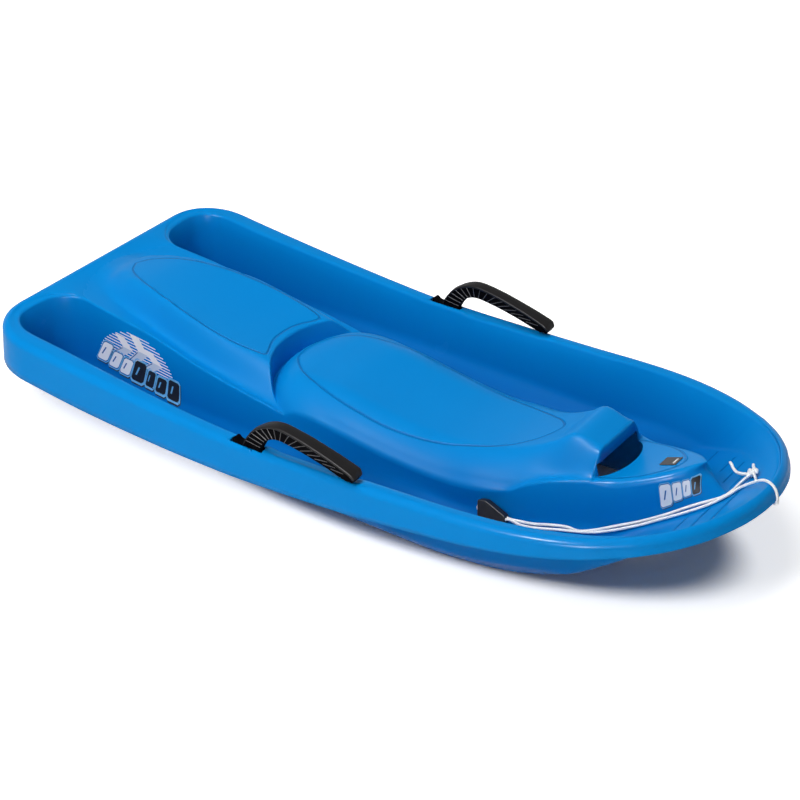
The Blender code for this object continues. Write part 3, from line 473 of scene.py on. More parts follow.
def cut_with(piece, cutter_mesh, name):
    """Cut a closed mesh out of a piece."""
    cutter = new_piece(name, cutter_mesh, [])
    modifier = piece.modifiers.new(name, "BOOLEAN")
    modifier.operation = "DIFFERENCE"
    modifier.object = cutter
    settle(piece)
    bpy.data.objects.remove(cutter)


def round_edges(piece, width, segments=3):
    """Rounded edges on a piece with hard edges, and smooth shading."""
    modifier = piece.modifiers.new("rounding", "BEVEL")
    modifier.width = width
    modifier.segments = segments
    modifier.limit_method = "ANGLE"
    modifier.angle_limit = hard_edge_angle
    modifier.harden_normals = True
    settle(piece)


black_moulded = plain_plastic("black_moulded", black_colour, black_worn_colour, black_roughness,
                              waves=black_waves, relief=black_relief)
grip_outline = [on_grip(along * grip_bar_length, ahead * grip_reach, -grip_thickness / 2)
                for along, ahead in grip_outline_shares]
grip_mesh = prism(round_outline(grip_outline, grip_corner_radius), grip_thickness * grip_side_way)
grip = new_piece("rope_grip", grip_mesh, [black_moulded])
round_edges(grip, grip_edge_radius)
tunnel_mesh = bmesh.new()
tunnel_route = [*map(Vector, rope_start_route[-2:]), *grip_in, *grip_out,
                *map(Vector, rope_return_route[:2])]
tunnel_line = even_points(curve_through(tunnel_route, grip_tunnel_curve_steps), grip_tunnel_step)
add_tube(tunnel_mesh, tunnel_line, [grip_tunnel_radius] * len(tunnel_line), grip_tunnel_around)
cut_with(grip, tunnel_mesh, "grip_tunnel")
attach(grip, "body")
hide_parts("tow_rope_grip")

# Hull: one shell moulded in blue plastic, 3 mm thick. It has a wide rim rolled down into a skirt,
# two deep foot channels, a long console with two seats, a grip bar and a pointed nose tongue.
# Tables of shares hold places in half lengths of the hull and values in shares of their size.
half_length = 0.607
half_width = 0.271
shell_thickness = 0.003
rim_height = 0.110
rear_rise = 0.040
nose_rise = 0.041
nose_tip_rise = 0.012
waist_place = -0.112
nose_tip_start = 0.430
nose_start = 0.209
side_taper = 0.0115
rear_corner_radius = 0.085
rim_round_radius = 0.012
band_edge_round = 0.004
band_inner_round = 0.0095
tongue_edge_round = 0.013
nose_edge_start = 0.42
nose_edge_run = 0.12
nose_band_trim = 0.007
recess_place = 0.025
recess_half_length = 0.083
recess_end = 0.016
recess_width = 0.0185
recess_depth = 0.0022
band_width = 0.034
nose_band_width = 0.023
skirt_depth = 0.064
skirt_flare = 0.003
floor_height = 0.003
bilge_height = 0.033
bilge_run = 0.040
nose_bilge_run = 0.062
nose_bilge_start = 0.190
nose_bilge_end = 0.400
nose_bilge_lift = 0.020
console_bilge_run = 0.028
wall_lean = 0.012
rear_lift = 0.022
rear_lift_start = -0.300
ramp_start = 0.250
ramp_blend = 0.132
ramp_rise = 0.072
nose_wall_run = 0.012
nose_floor_run = 0.010
well_end_gap = 0.027
well_corner_length = 0.052
well_outer_corner_width = 0.044
well_inner_corner_width = 0.056
console_half_width = 0.130
console_edge_drop = 0.075
rear_seat_height = 0.166
front_seat_height = 0.126
grip_bar_front_height = 0.162
grip_bar_place = 0.323
grip_bar_depth = 0.044
riser_edge_place = -0.126
riser_radius = 0.140
riser_draft = 0.004
tongue_tip_place = 0.506
tongue_foot_reach = 0.037
tongue_crown = -0.001
rear_deck_gap = 0.016
rear_rise_power = 1.4
nose_rise_power = 1.5
rim_nose_power = 2.5
channel_nose_power = 2.5
foot_nose_power = 2.0
foot_across_power = 2.2
well_corner_steps = 5
rear_corner_place = -half_length + rear_corner_radius
side_end = -half_length + well_end_gap + well_corner_length
riser_corner_radius = 0.0035
floor_corner_radius = 0.014
bilge_corner_radius = 0.009
tongue_blend = 0.030
seat_matt_gap = 0.004
recess_overlap = 0.0005
hull_turn_samples = 401
hull_turn_step = 0.01
floor_steps = 3
wall_steps = 4
wall_arc_span = 1.2
wall_arc_shares = (0.0, 0.25, 0.5, 0.75, 1.0)
rim_flat_steps = 9
rim_arc_steps = 8
skirt_steps = 5
edge_row = 4
row_merge_distance = 0.00003
middle_merge_distance = 0.0001
row_steps = 4
console_rows = 27
band_place_shares = (-0.74, -0.33, 0.33)
band_width_shares = (1.0, 0.79, 0.72)
skirt_place_shares = (-1.0, -0.70, -0.44, -0.18, 0.10, 0.30, 0.45, 0.65, 0.80, 1.0)
skirt_depth_shares = (0.95, 1.0, 0.95, 0.86, 0.79, 0.69, 0.59, 0.46, 0.36, 0.30)
edge_place_shares = (-0.90, -0.78, -0.64, -0.50, -0.36, -0.21, -0.13, 0.0, 0.16, 0.30, 0.38,
                     0.45, 0.54, 0.60, 0.68, 0.737, 0.772, 0.804, 0.824, 0.833)
edge_width_shares = (0.85, 0.89, 0.91, 0.97, 1.0, 0.98, 0.965, 0.95, 0.93, 0.89, 0.85,
                     0.78, 0.67, 0.575, 0.47, 0.375, 0.30, 0.205, 0.115, 0.0)
edge_drop_shares = (0.0, 0.0, 0.033, 0.13, 0.22, 0.37, 0.53, 0.78, 0.94, 1.0, 0.81,
                    0.41, 0.17, 0.125, -0.01, -0.13, -0.21, -0.285, -0.325, -0.335)
foot_place_shares = (-0.90, -0.64, -0.36, -0.16, 0.0, 0.19, 0.34, 0.43, 0.54, 0.63, 0.71,
                     0.80, 0.850, 0.877, 0.8930)
foot_width_shares = (0.95, 1.03, 1.07, 1.01, 0.98, 0.94, 0.875, 0.84, 0.755, 0.615, 0.465,
                     0.275, 0.175, 0.100, 0.0)
rear_seat_place_shares = (-0.98, -0.92, -0.86, -0.78, -0.70, -0.60, -0.48, -0.36, -0.34)
rear_seat_height_shares = (0.92, 0.935, 0.965, 1.0, 0.985, 0.935, 0.855, 0.785, 0.765)
front_seat_place_shares = (-0.35, -0.33, -0.30, -0.25, -0.15, 0.0, 0.07, 0.13, 0.20, 0.27,
                           0.34, 0.41, 0.48, 0.53)
front_seat_height_shares = (0.67, 0.80, 0.92, 0.99, 0.985, 0.895, 0.855, 0.83, 0.83, 0.86,
                            0.915, 1.02, 1.19, 1.357)
rear_station_shares = (0.0, 0.07, 0.14, 0.22, 0.32, 0.44, 0.57, 0.70, 0.83, 0.93, 1.0)
front_station_shares = (0.0, 0.035, 0.075, 0.12, 0.18, 0.26, 0.35, 0.45, 0.55, 0.64, 0.72,
                        0.79, 0.85, 0.90, 0.95, 1.0)
tongue_station_shares = (0.0, 0.18, 0.352, 0.498, 0.705, 0.81, 0.92, 1.0)
bar_start_share = 0.72
rear_flat_shares = (0.0, 0.10, 0.25, 0.38, 0.47, 0.55, 0.60, 0.61, 0.60, 0.58, 0.56)
rear_fall_shares = (0.55, 0.62, 0.70, 0.76, 0.80, 0.83, 0.86, 0.88, 0.91, 0.94, 0.97)
front_fall_shares = (0.50, 1.03)
bar_fall_shares = (0.48, 0.88)
bar_front_fall_shares = (0.58, 1.0)


def smooth_through(places, values, place):
    """Monotone cubic curve through knots, held level past both ends."""
    x = np.asarray(places, float)
    y = np.asarray(values, float)
    place = float(np.clip(place, x[0], x[-1]))
    step = np.diff(x)
    slope = np.diff(y) / step
    bend = np.zeros(len(x))
    for i in range(1, len(x) - 1):
        if slope[i - 1] * slope[i] > 0:
            first, second = 2 * step[i] + step[i - 1], step[i] + 2 * step[i - 1]
            bend[i] = (first + second) / (first / slope[i - 1] + second / slope[i])
    bend[0], bend[-1] = slope[0], slope[-1]
    i = int(np.clip(np.searchsorted(x, place) - 1, 0, len(step) - 1))
    return float(hermite(y[i], y[i + 1], bend[i], bend[i + 1], step[i], (place - x[i]) / step[i]))


def along_hull(place_shares, value_shares, size, x):
    """Value at a place along the hull, from shares of its half length and of a size."""
    return size * smooth_through([share * half_length for share in place_shares], value_shares, x)


def rim_top(x):
    """Height of the rim, which rises towards both ends."""
    if x < waist_place:
        share = (waist_place - x) / (waist_place + half_length)
        return rim_height + rear_rise * share ** rear_rise_power
    share = (x - waist_place) / (half_length - waist_place)
    tip_share = max(0.0, (x - nose_tip_start) / (half_length - nose_tip_start))
    return rim_height + nose_rise * share ** nose_rise_power + nose_tip_rise * tip_share ** 2


def floor_top(x):
    """Height of the channel floor: flat on the snow, lifted at the rear, a ramp at the nose."""
    if x < rear_lift_start:
        share = (rear_lift_start - x) / (half_length + rear_lift_start)
        return floor_height + rear_lift * share * share
    if x < ramp_start:
        return floor_height
    share = (x - ramp_start) / ramp_blend
    rise = share * share / 2 if share < 1 else share - 1 / 2
    return floor_height + ramp_rise * rise


def bilge_top(x):
    """Height where a channel wall meets the sloping bilge, or the ramp where it is higher."""
    share = ease((x - nose_bilge_start) / (nose_bilge_end - nose_bilge_start))
    return max(floor_top(x), floor_height + bilge_height + nose_bilge_lift * share)


def bilge_share(x):
    """How much of the bilge is left above the ramp, from 1 to 0."""
    left = (bilge_top(x) - floor_top(x)) / (bilge_top(x) - floor_height)
    return min(max(left, 0.0), 1.0)


def side_half_width(x):
    """Half width of the straight sides, which draw in a little towards the nose."""
    share = (x + half_length) / (nose_start + half_length)
    return half_width - side_taper * share * share


def band_at(x):
    """Width of the flat rim band beside the channels."""
    return along_hull(band_place_shares, band_width_shares, band_width, x)


def nose_arc(tip, width, power, turn, across_power=2.0):
    """Point of a rounded nose outline, from its tip at turn 0 to its widest place at 1."""
    angle = turn * math.pi / 2
    along = max(math.cos(angle), 0.0) ** (2 / power)
    across = max(math.sin(angle), 0.0) ** (2 / across_power)
    return Vector((nose_start + (tip - nose_start) * along, width * across))


nose_rim_width = side_half_width(nose_start)
nose_band_inner = nose_rim_width - band_at(nose_start)


def hull_side(turn):
    """Rim edge, band inner edge and wall foot in plan: 0 to 1 round the nose, 1 to 2 along the side."""
    if turn < 1:
        inner_tip = half_length - nose_band_width
        return (nose_arc(half_length, nose_rim_width, rim_nose_power, turn),
                nose_arc(inner_tip, nose_band_inner, channel_nose_power, turn),
                nose_arc(inner_tip - nose_wall_run, nose_band_inner - wall_lean,
                         foot_nose_power, turn, foot_across_power))
    x = nose_start + (turn - 1) * (side_end - nose_start)
    edge = side_half_width(x)
    inner = edge - band_at(x)
    if x < rear_corner_place:
        edge -= rear_corner_radius - math.sqrt(rear_corner_radius ** 2 - (rear_corner_place - x) ** 2)
    return Vector((x, edge)), Vector((x, inner)), Vector((x, inner - wall_lean))


def console_edge(x):
    """Half width and height of the console's edge at a place along it."""
    width = along_hull(edge_place_shares, edge_width_shares, console_half_width, x)
    return width, rim_top(x) - along_hull(edge_place_shares, edge_drop_shares, console_edge_drop, x)


def console_foot(x):
    """Half width of the console where its wall meets the channel floor."""
    return along_hull(foot_place_shares, foot_width_shares, console_half_width, x)


def arc_depth(half_chord):
    """Depth of the riser's arc in plan over half a chord."""
    return riser_radius - math.sqrt(riser_radius ** 2 - half_chord ** 2)


def console_stations():
    """Lines across the console, from the rear deck to the tongue's tip."""
    stations = []
    deck_middle = -half_length + rim_round_radius + rear_deck_gap
    riser_middle = riser_edge_place - arc_depth(console_half_width)
    for i, share in enumerate(rear_station_shares):
        edge = mix(side_end, riser_edge_place, share)
        middle = mix(deck_middle, riser_middle, share)
        seat = along_hull(rear_seat_place_shares, rear_seat_height_shares, rear_seat_height, middle)
        top = mix(rim_top(middle), seat, ease(share / rear_station_shares[2]))
        stations.append((edge, middle, top, rear_flat_shares[i], rear_fall_shares[i], 0.0))
    for share in front_station_shares:
        edge = mix(riser_edge_place + riser_draft, grip_bar_place, share)
        middle = mix(riser_middle + riser_draft, grip_bar_place, share)
        rise = ease((share - bar_start_share) / (1 - bar_start_share))
        flat = mix(front_fall_shares[0], bar_fall_shares[0], rise)
        foot = mix(front_fall_shares[1], bar_fall_shares[1], rise)
        seat = along_hull(front_seat_place_shares, front_seat_height_shares, front_seat_height, middle)
        stations.append((edge, middle, seat, flat, foot, 1 - rise))
    bar_front = grip_bar_place + grip_bar_depth
    stations.append((bar_front, bar_front, grip_bar_front_height, *bar_front_fall_shares, 0.0))
    for share in tongue_station_shares:
        edge = mix(bar_front + riser_draft, tongue_tip_place, share)
        top = console_edge(edge)[1] + tongue_crown * (1 - share)
        stations.append((edge, edge, top, 0.0, 1.0, 0.0))
    return stations


def console_point(station, share):
    """Point of the console's top on a station, at a share of its half width."""
    edge, middle, top, flat, foot, bulge = station
    width, edge_height = console_edge(edge)
    bow = arc_depth(console_half_width * share) / arc_depth(console_half_width)
    t = min(max((share - flat) / (foot - flat), 0.0), 1.0)
    fall = mix(ease(t), 1 - math.sqrt(1 - t * t), bulge)
    return Vector((mix(middle, edge, bow), width * share, mix(top, edge_height, fall)))


def over(plan, height):
    """Point in space over a place in plan."""
    return Vector((plan.x, plan.y, height))


def outer_column(rim, outward, inner, foot, floor, middle, soft=band_inner_round):
    """Points of the shell from the channel's middle out over the rim and down the skirt."""
    band = (inner - foot).normalized() * soft
    top = rim_top(rim.x)
    depth = along_hull(skirt_place_shares, skirt_depth_shares, skirt_depth, rim.x)
    return [over(middle, floor_top(middle.x)), over(floor, floor_top(floor.x)),
            over(foot, bilge_top(foot.x)), over(inner, rim_top(inner.x) - band_edge_round),
            over(inner + band, rim_top(inner.x)), over(rim - outward * rim_round_radius, top),
            over(rim, top - rim_round_radius), over(rim + outward * skirt_flare, top - depth)]


def inner_column(station, foot, floor, middle):
    """Points of the shell from the channel's middle up over the console to the middle line."""
    edge = station[0]
    width, height = console_edge(edge)
    tongue = ease((edge - grip_bar_place - grip_bar_depth) / tongue_blend)
    soft = mix(band_edge_round, tongue_edge_round, tongue)
    low = height - min(soft, (height - bilge_top(foot.x)) / 2)
    flat_share = max(0.0, 1 - soft / max(width, soft))
    seat = [console_point(station, share * flat_share) for share in np.linspace(1.0, 0.0, console_rows)]
    return [over(middle, floor_top(middle.x)), over(floor, floor_top(floor.x)),
            over(foot, bilge_top(foot.x)), Vector((edge, width, low)), *seat]


def toward(start, end, distance):
    """Point at a distance from start on the way to end."""
    way = end - start
    if way.length < distance:
        return end.copy()
    return start + way.normalized() * distance


def inner_inset(x):
    """Distance in plan from the console's foot to the flat floor."""
    return mix(nose_floor_run, console_bilge_run, bilge_share(x))


def hull_columns():
    """Columns of the half shell: outer ones from the nose to the rear, then the inner ones."""
    stations = console_stations()
    feet = []
    for station in reversed(stations):
        share = max(0.0, (station[0] - grip_bar_place) / (tongue_tip_place - grip_bar_place))
        x = station[0] + tongue_foot_reach * share * share
        feet.append(Vector((x, console_foot(x))))
    feet[0].y = 0.0
    lengths = run_lengths(feet)
    turns = np.linspace(0.0, 2.0, hull_turn_samples)
    outer_run = run_lengths([hull_side(turn)[2] for turn in turns])
    outer, inner = [], []
    for k, foot in enumerate(feet):
        turn = float(np.interp(lengths[k] / lengths[-1] * outer_run[-1], outer_run, turns))
        rim, band, outer_foot = hull_side(turn)
        ahead, behind = max(turn - hull_turn_step, 0.0), min(turn + hull_turn_step, 2.0)
        along = (hull_side(ahead)[0] - hull_side(behind)[0]).normalized()
        outward = Vector((abs(along.y), abs(along.x)))
        if k == 0:
            outward = Vector((1.0, 0.0))
            rim.y = band.y = outer_foot.y = 0.0
        middle = (foot + outer_foot) / 2
        share = ease((outer_foot.x - nose_bilge_start) / (nose_bilge_end - nose_bilge_start))
        inset = mix(nose_floor_run, mix(bilge_run, nose_bilge_run, share), bilge_share(outer_foot.x))
        outer_floor = toward(outer_foot, middle, inset)
        inner_floor = toward(foot, middle, inner_inset(foot.x))
        if k == 0:
            outer_floor.y = inner_floor.y = middle.y = 0.0
        sharp = ease((rim.x - nose_edge_start) / nose_edge_run)
        soft = mix(band_inner_round, band_edge_round, sharp)
        band = band + outward * nose_band_trim * sharp
        outer.append(outer_column(rim, outward, band, outer_foot, outer_floor, middle, soft))
        inner.append(inner_column(stations[len(stations) - 1 - k], foot, inner_floor, middle))
    return outer, inner


def well_corner(centre, width, along, across, inset):
    """Point of an elliptic corner of a channel's rear end, inset for the foot of its wall."""
    return Vector((centre.x + along * (well_corner_length - inset), centre.y + across * (width - inset)))


def well_end_columns(middle):
    """Columns that fan round the rear end of a channel, from its outer side to the console."""
    columns = []
    side = side_half_width(side_end)
    outer_centre = Vector((side_end, side - band_at(side_end) - well_outer_corner_width))
    inner_centre = Vector((side_end, console_edge(side_end)[0] + well_inner_corner_width))
    rim_centre = Vector((rear_corner_place, side_half_width(rear_corner_place) - rear_corner_radius))
    start = math.asin((rear_corner_place - side_end) / rear_corner_radius)
    for i in range(1, well_corner_steps + 1):
        angle = i / well_corner_steps * math.pi / 2
        rim_angle = mix(start, math.pi / 2, i / well_corner_steps)
        outward = Vector((-math.sin(rim_angle), math.cos(rim_angle)))
        shape = (outer_centre, well_outer_corner_width, -math.sin(angle), math.cos(angle))
        band, foot = well_corner(*shape, 0.0), well_corner(*shape, wall_lean)
        columns.append(outer_column(rim_centre + outward * rear_corner_radius, outward, band, foot,
                                    toward(foot, middle, inner_inset(foot.x)), middle))
    for i in range(1, well_corner_steps + 1):
        angle = i / well_corner_steps * math.pi / 2
        shape = (inner_centre, well_inner_corner_width, -math.cos(angle), -math.sin(angle))
        band, foot = well_corner(*shape, 0.0), well_corner(*shape, wall_lean)
        across = mix(rim_centre.y, inner_centre.y - well_inner_corner_width, i / well_corner_steps)
        soft = mix(band_inner_round, band_edge_round, i / well_corner_steps)
        columns.append(outer_column(Vector((-half_length, across)), Vector((-1.0, 0.0)), band, foot,
                                    toward(foot, middle, inner_inset(foot.x)), middle, soft))
    return columns


def straight(start, end, steps):
    """Points between two ends, without them."""
    return [start.lerp(end, step / steps) for step in range(1, steps)]


def smooth_row(points, corners):
    """Smooth line through one row of all columns, with rounded corners at the hard ones."""
    fine, marks = [], []
    for i in range(len(points) - 1):
        start, end = points[i], points[i + 1]
        if i in corners:
            marks.append(len(fine))
        if i in corners and i + 1 in corners:
            fine.append(start)
            continue
        before = points[i - 1] if i > 0 and i not in corners else 2 * start - end
        after = points[i + 2] if i + 2 < len(points) and i + 1 not in corners else 2 * end - start
        fine += [curve_between(before, start, end, after, step / row_steps) for step in range(row_steps)]
    fine.append(points[-1])
    for mark in reversed(marks):
        fine[mark:mark + 1] = rounded_corner(fine[mark - 1], fine[mark], fine[mark + 1],
                                             riser_corner_radius)
    return fine


def smooth_columns(columns, corners, natural_rows=(), end=None):
    """More columns between the given ones, row by row."""
    rows = []
    for j in range(len(columns[0])):
        points = [column[j] for column in columns]
        if j in natural_rows:
            fine = smooth_row(points[:end + 1], corners)
            fine += [points[end]] * (row_steps * (len(points) - 1 - end))
        else:
            fine = smooth_row(points, corners)
        rows.append(fine)
    return [list(column) for column in zip(*rows)]


def wall_profile(middle, floor, foot, low, edge):
    """Rounded profile from a channel's middle over its floor and bilge up to the wall's top."""
    way = (edge - low).xy
    level = Vector((*way.normalized(), 0.0)) if way.length > 1e-6 else Vector()
    lift = (low - foot).normalized()
    span = (edge - low).length * wall_arc_span
    arc = [hermite(low, edge, lift, level, span, t) for t in wall_arc_shares]
    floor_part = rounded_corner(middle, floor, foot, floor_corner_radius)
    foot_part = rounded_corner(floor, foot, low, bilge_corner_radius)
    return [middle, *straight(middle, floor_part[0], floor_steps), *floor_part,
            *straight(floor_part[-1], foot_part[0], floor_steps), *foot_part,
            *straight(foot_part[-1], low, wall_steps), *arc]


def rim_profile(edge, start, rim, bottom):
    """Rounded profile from the band's inner edge out over the rim and down the skirt."""
    out = Vector((rim.x - start.x, rim.y - start.y, 0.0))
    down = Vector((0.0, 0.0, start.z - rim.z))
    arc = [start + out * math.sin(angle) - down * (1 - math.cos(angle))
           for angle in (step / rim_arc_steps * math.pi / 2 for step in range(rim_arc_steps + 1))]
    return [*straight(edge, start, rim_flat_steps), *arc, *straight(rim, bottom, skirt_steps), bottom]


def hull_half():
    """Mesh of the left half of the shell, with the distance in from the rim kept on its points."""
    outer, inner = hull_columns()
    count = len(inner)
    outer += well_end_columns(outer[-1][0].xy)
    rear_rim = outer[-1][edge_row + 1:]
    outer[-1] = inner[-1][:edge_row + 1] + rear_rim
    bar = count - 1 - len(rear_station_shares) - len(front_station_shares)
    riser = count - 1 - (len(rear_station_shares) - 1)
    corners = (bar - 1, bar, riser - 1, riser)
    outer_fine = smooth_columns(outer, corners, (0,), count - 1)
    inner_fine = smooth_columns(inner, corners)
    mesh = bmesh.new()
    from_rim = mesh.verts.layers.float.new("from_rim")
    matt = mesh.verts.layers.float.new("matt")

    def add(points, with_rim=True, seat_from=None):
        verts = [mesh.verts.new(point) for point in points]
        runs = run_lengths(points)
        rim_run = runs[len(points) - skirt_steps - 1]
        for j, vert in enumerate(verts):
            vert[from_rim] = rim_run - runs[j] if with_rim and j else 1.0
            vert[matt] = float(seat_from is not None and j >= seat_from)
        return verts

    def join(left, right):
        for i in range(len(left) - 1):
            mesh.faces.new((left[i], left[i + 1], right[i + 1], right[i]))

    inner_verts = []
    for column in inner_fine:
        wall = wall_profile(*column[:edge_row + 1])
        on_seat = column[edge_row].x < grip_bar_place + grip_bar_depth - seat_matt_gap
        seat_from = len(wall) - 2 if on_seat else None
        inner_verts.append(add(wall + column[edge_row + 1:], False, seat_from))
    outer_verts = [add(wall_profile(*column[:edge_row + 1]) + rim_profile(*column[edge_row:]))
                   for column in outer_fine]
    rear_verts = []
    for point in inner_fine[-1][edge_row:]:
        moved = [Vector((spot.x, point.y, spot.z)) for spot in rear_rim]
        rear_verts.append(add([point, *rim_profile(point, *moved)]))
    corner = inner_fine[-1][edge_row]
    rear_verts.insert(0, add([corner, *rim_profile(corner, *rear_rim)]))
    for columns in (outer_verts, rear_verts):
        for left, right in zip(columns, columns[1:]):
            join(left, right)
    for right, left in zip(inner_verts, inner_verts[1:]):
        join(left, right)
    bmesh.ops.remove_doubles(mesh, verts=mesh.verts, dist=row_merge_distance)
    return mesh


def press_recesses(mesh):
    """Shallow recess in the inner half of the rim band, under the grips of the levers."""
    for vert in mesh.verts:
        x, y = vert.co.x, abs(vert.co.y)
        from_end = recess_half_length - abs(x - recess_place)
        inner = side_half_width(x) - band_at(x) if x < nose_start else 1.0
        across = (inner + recess_width - y) / (recess_width - band_inner_round)
        if from_end > 0.0 and y > inner - recess_overlap and across > 0.0:
            vert.co.z -= recess_depth * ease(from_end / recess_end) * ease(across)


def both_halves(mesh):
    """Whole mesh of a left half, mirrored and joined along the middle line."""
    copy = bmesh.ops.duplicate(mesh, geom=[*mesh.verts, *mesh.edges, *mesh.faces])["geom"]
    verts = [item for item in copy if isinstance(item, bmesh.types.BMVert)]
    faces = [item for item in copy if isinstance(item, bmesh.types.BMFace)]
    for vert in verts:
        vert.co.y = -vert.co.y
    bmesh.ops.reverse_faces(mesh, faces=faces)
    middle = [vert for vert in mesh.verts if abs(vert.co.y) < middle_merge_distance]
    bmesh.ops.remove_doubles(mesh, verts=middle, dist=middle_merge_distance)
    return mesh


blue_colour = (0.0006, 0.245, 0.665)
blue_shade_colour = (0.0005, 0.232, 0.640)
# Painted shade: the darker blue that deep channel floors and moulded lines are mixed towards.
blue_painted_shade_colour = (0.0004, 0.140, 0.470)
blue_specular = 0.07
blue_roughness = 0.20
blue_mottle_roughness = 0.10
seat_roughness = 0.16
hull_grain_size = 0.0009
hull_wave_size = 0.09
hull_relief = 0.001
rim_grain_share = 0.006
seat_grain_share = 0.028
# Painted shade of the channels: where it starts below the rim, its run, and its fade in from the rim.
painted_shade_start = 0.012
painted_shade_run = 0.080
painted_shade_rim_run = 0.02
painted_shade_rim_share = 0.6
rear_seat_line = ((-0.524, 0.0), (-0.510, 0.022), (-0.476, 0.0425), (-0.433, 0.0568), (-0.390, 0.0672),
                  (-0.348, 0.0744), (-0.305, 0.079), (-0.262, 0.079), (-0.219, 0.0735), (-0.206, 0.068),
                  (-0.210, 0.055), (-0.218, 0.040), (-0.224, 0.022), (-0.226, 0.0))
front_seat_line = ((-0.181, 0.0), (-0.176, 0.025), (-0.160, 0.046), (-0.134, 0.067), (-0.091, 0.0827),
                   (-0.048, 0.0916), (-0.005, 0.0937), (0.0375, 0.0937), (0.080, 0.089),
                   (0.123, 0.0817), (0.166, 0.0705), (0.209, 0.0570), (0.240, 0.0420), (0.262, 0.0265),
                   (0.2765, 0.0080), (0.279, 0.0))
panel_line = ((0.372, 0.0), (0.372, 0.0560), (0.390, 0.0555), (0.407, 0.0520), (0.430, 0.0440),
              (0.449, 0.0330), (0.463, 0.0200), (0.471, 0.0085), (0.473, 0.0))
# Each line across a channel: its place along the sled, its inner and its outer end.
cross_lines = ((-0.034, 0.136, 0.171), (0.091, 0.136, 0.171), (0.310, 0.136, 0.171),
               (0.382, 0.136, 0.171), (0.441, 0.136, 0.171), (0.483, 0.092, 0.141),
               (0.508, 0.050, 0.118), (0.530, 0.026, 0.098), (0.551, 0.0, 0.072))
cross_line_half_width = 0.0024
cross_line_fade = 0.004
panel_line_share = 0.8
rim_crease_share = 0.6
rim_crease_half_width = 0.0022
rim_crease_off = 0.003
rim_crease_inset = 0.0215
rim_crease_start = 0.45
rim_crease_end = 0.54
groove_half_width = 0.0026
groove_depth = 1.6
# Painted shade in the moulded lines: how far their colour goes towards the darker blue.
groove_painted_shade_share = 0.75
seat_line_steps = 6
panel_line_steps = 4
rim_samples = 81


def plan_distance(points, outline):
    """Signed distance in plan from an outline that is the same on both sides; minus inside."""
    closed = [*outline, *[(x, -y) for x, y in reversed(outline[1:-1])]]
    ends = np.array([*closed[1:], closed[0]])
    starts = np.array(closed)
    nearest = np.full(len(points), np.inf)
    inside = np.zeros(len(points), bool)
    for start, end in zip(starts, ends):
        way = end - start
        share = np.clip(((points - start) @ way) / (way @ way), 0.0, 1.0)
        nearest = np.minimum(nearest, np.linalg.norm(points - start - share[:, None] * way, axis=1))
        crosses = (start[1] > points[:, 1]) != (end[1] > points[:, 1])
        height = way[1] if way[1] else 1.0
        place = start[0] + (points[:, 1] - start[1]) / height * way[0]
        inside ^= crosses & (points[:, 0] < place)
    return np.where(inside, -nearest, nearest)


def rounded_plan(outline, steps):
    """Smooth half outline through plan points."""
    return [tuple(point.xy) for point in curve_through([Vector((x, y, 0.0)) for x, y in outline], steps)]


def keep_value(piece, name, values):
    """Float on every point of a piece, for its material."""
    layer = piece.data.attributes.new(name, "FLOAT", "POINT")
    layer.data.foreach_set("value", np.asarray(values, np.float32))


def piece_points(piece):
    """Points of a piece as an array."""
    places = np.empty(len(piece.data.vertices) * 3, np.float32)
    piece.data.vertices.foreach_get("co", places)
    return places.reshape(-1, 3).astype(float)


def line_group():
    """Mask that is 1 on a line where a distance is 0 and fades out on both sides."""
    group, given, put = new_group("moulded_line", {"Distance": 1.0, "Half Width": 0.002}, ("Line",))
    distance = add_math(group, "ABSOLUTE", given.outputs["Distance"])
    line = add_range(group, distance, 1.0, 0.0, 0.0, given.outputs["Half Width"], "SMOOTHSTEP")
    feed(group, put, {"Line": line})
    return group


def cross_line_group():
    """Mask of a short moulded line across both channels at one place along the sled."""
    group, given, put = new_group("cross_line", {"Place": 0.0, "Inner": 0.0, "Outer": 0.1,
                                                 "Half Width": 0.001}, ("Line",))
    place = group.nodes.new("ShaderNodeTexCoord")
    split = add_node(group, "ShaderNodeSeparateXYZ", {0: place.outputs["Object"]})
    across = add_math(group, "ABSOLUTE", split.outputs["Y"])
    off = add_math(group, "SUBTRACT", split.outputs["X"], given.outputs["Place"])
    off = add_math(group, "DIVIDE", add_math(group, "ABSOLUTE", off), given.outputs["Half Width"])
    line = add_math(group, "SUBTRACT", 1.0, off, clamp=True)
    for far, near in ((across, given.outputs["Inner"]), (given.outputs["Outer"], across)):
        left = add_math(group, "SUBTRACT", far, near)
        share = add_math(group, "DIVIDE", left, cross_line_fade, clamp=True)
        line = add_math(group, "MULTIPLY", line, share)
    feed(group, put, {"Line": line})
    return group


def stored(tree, name):
    """Output of a value that the mesh keeps."""
    return add_node(tree, "ShaderNodeAttribute", {}, attribute_name=name).outputs["Fac"]


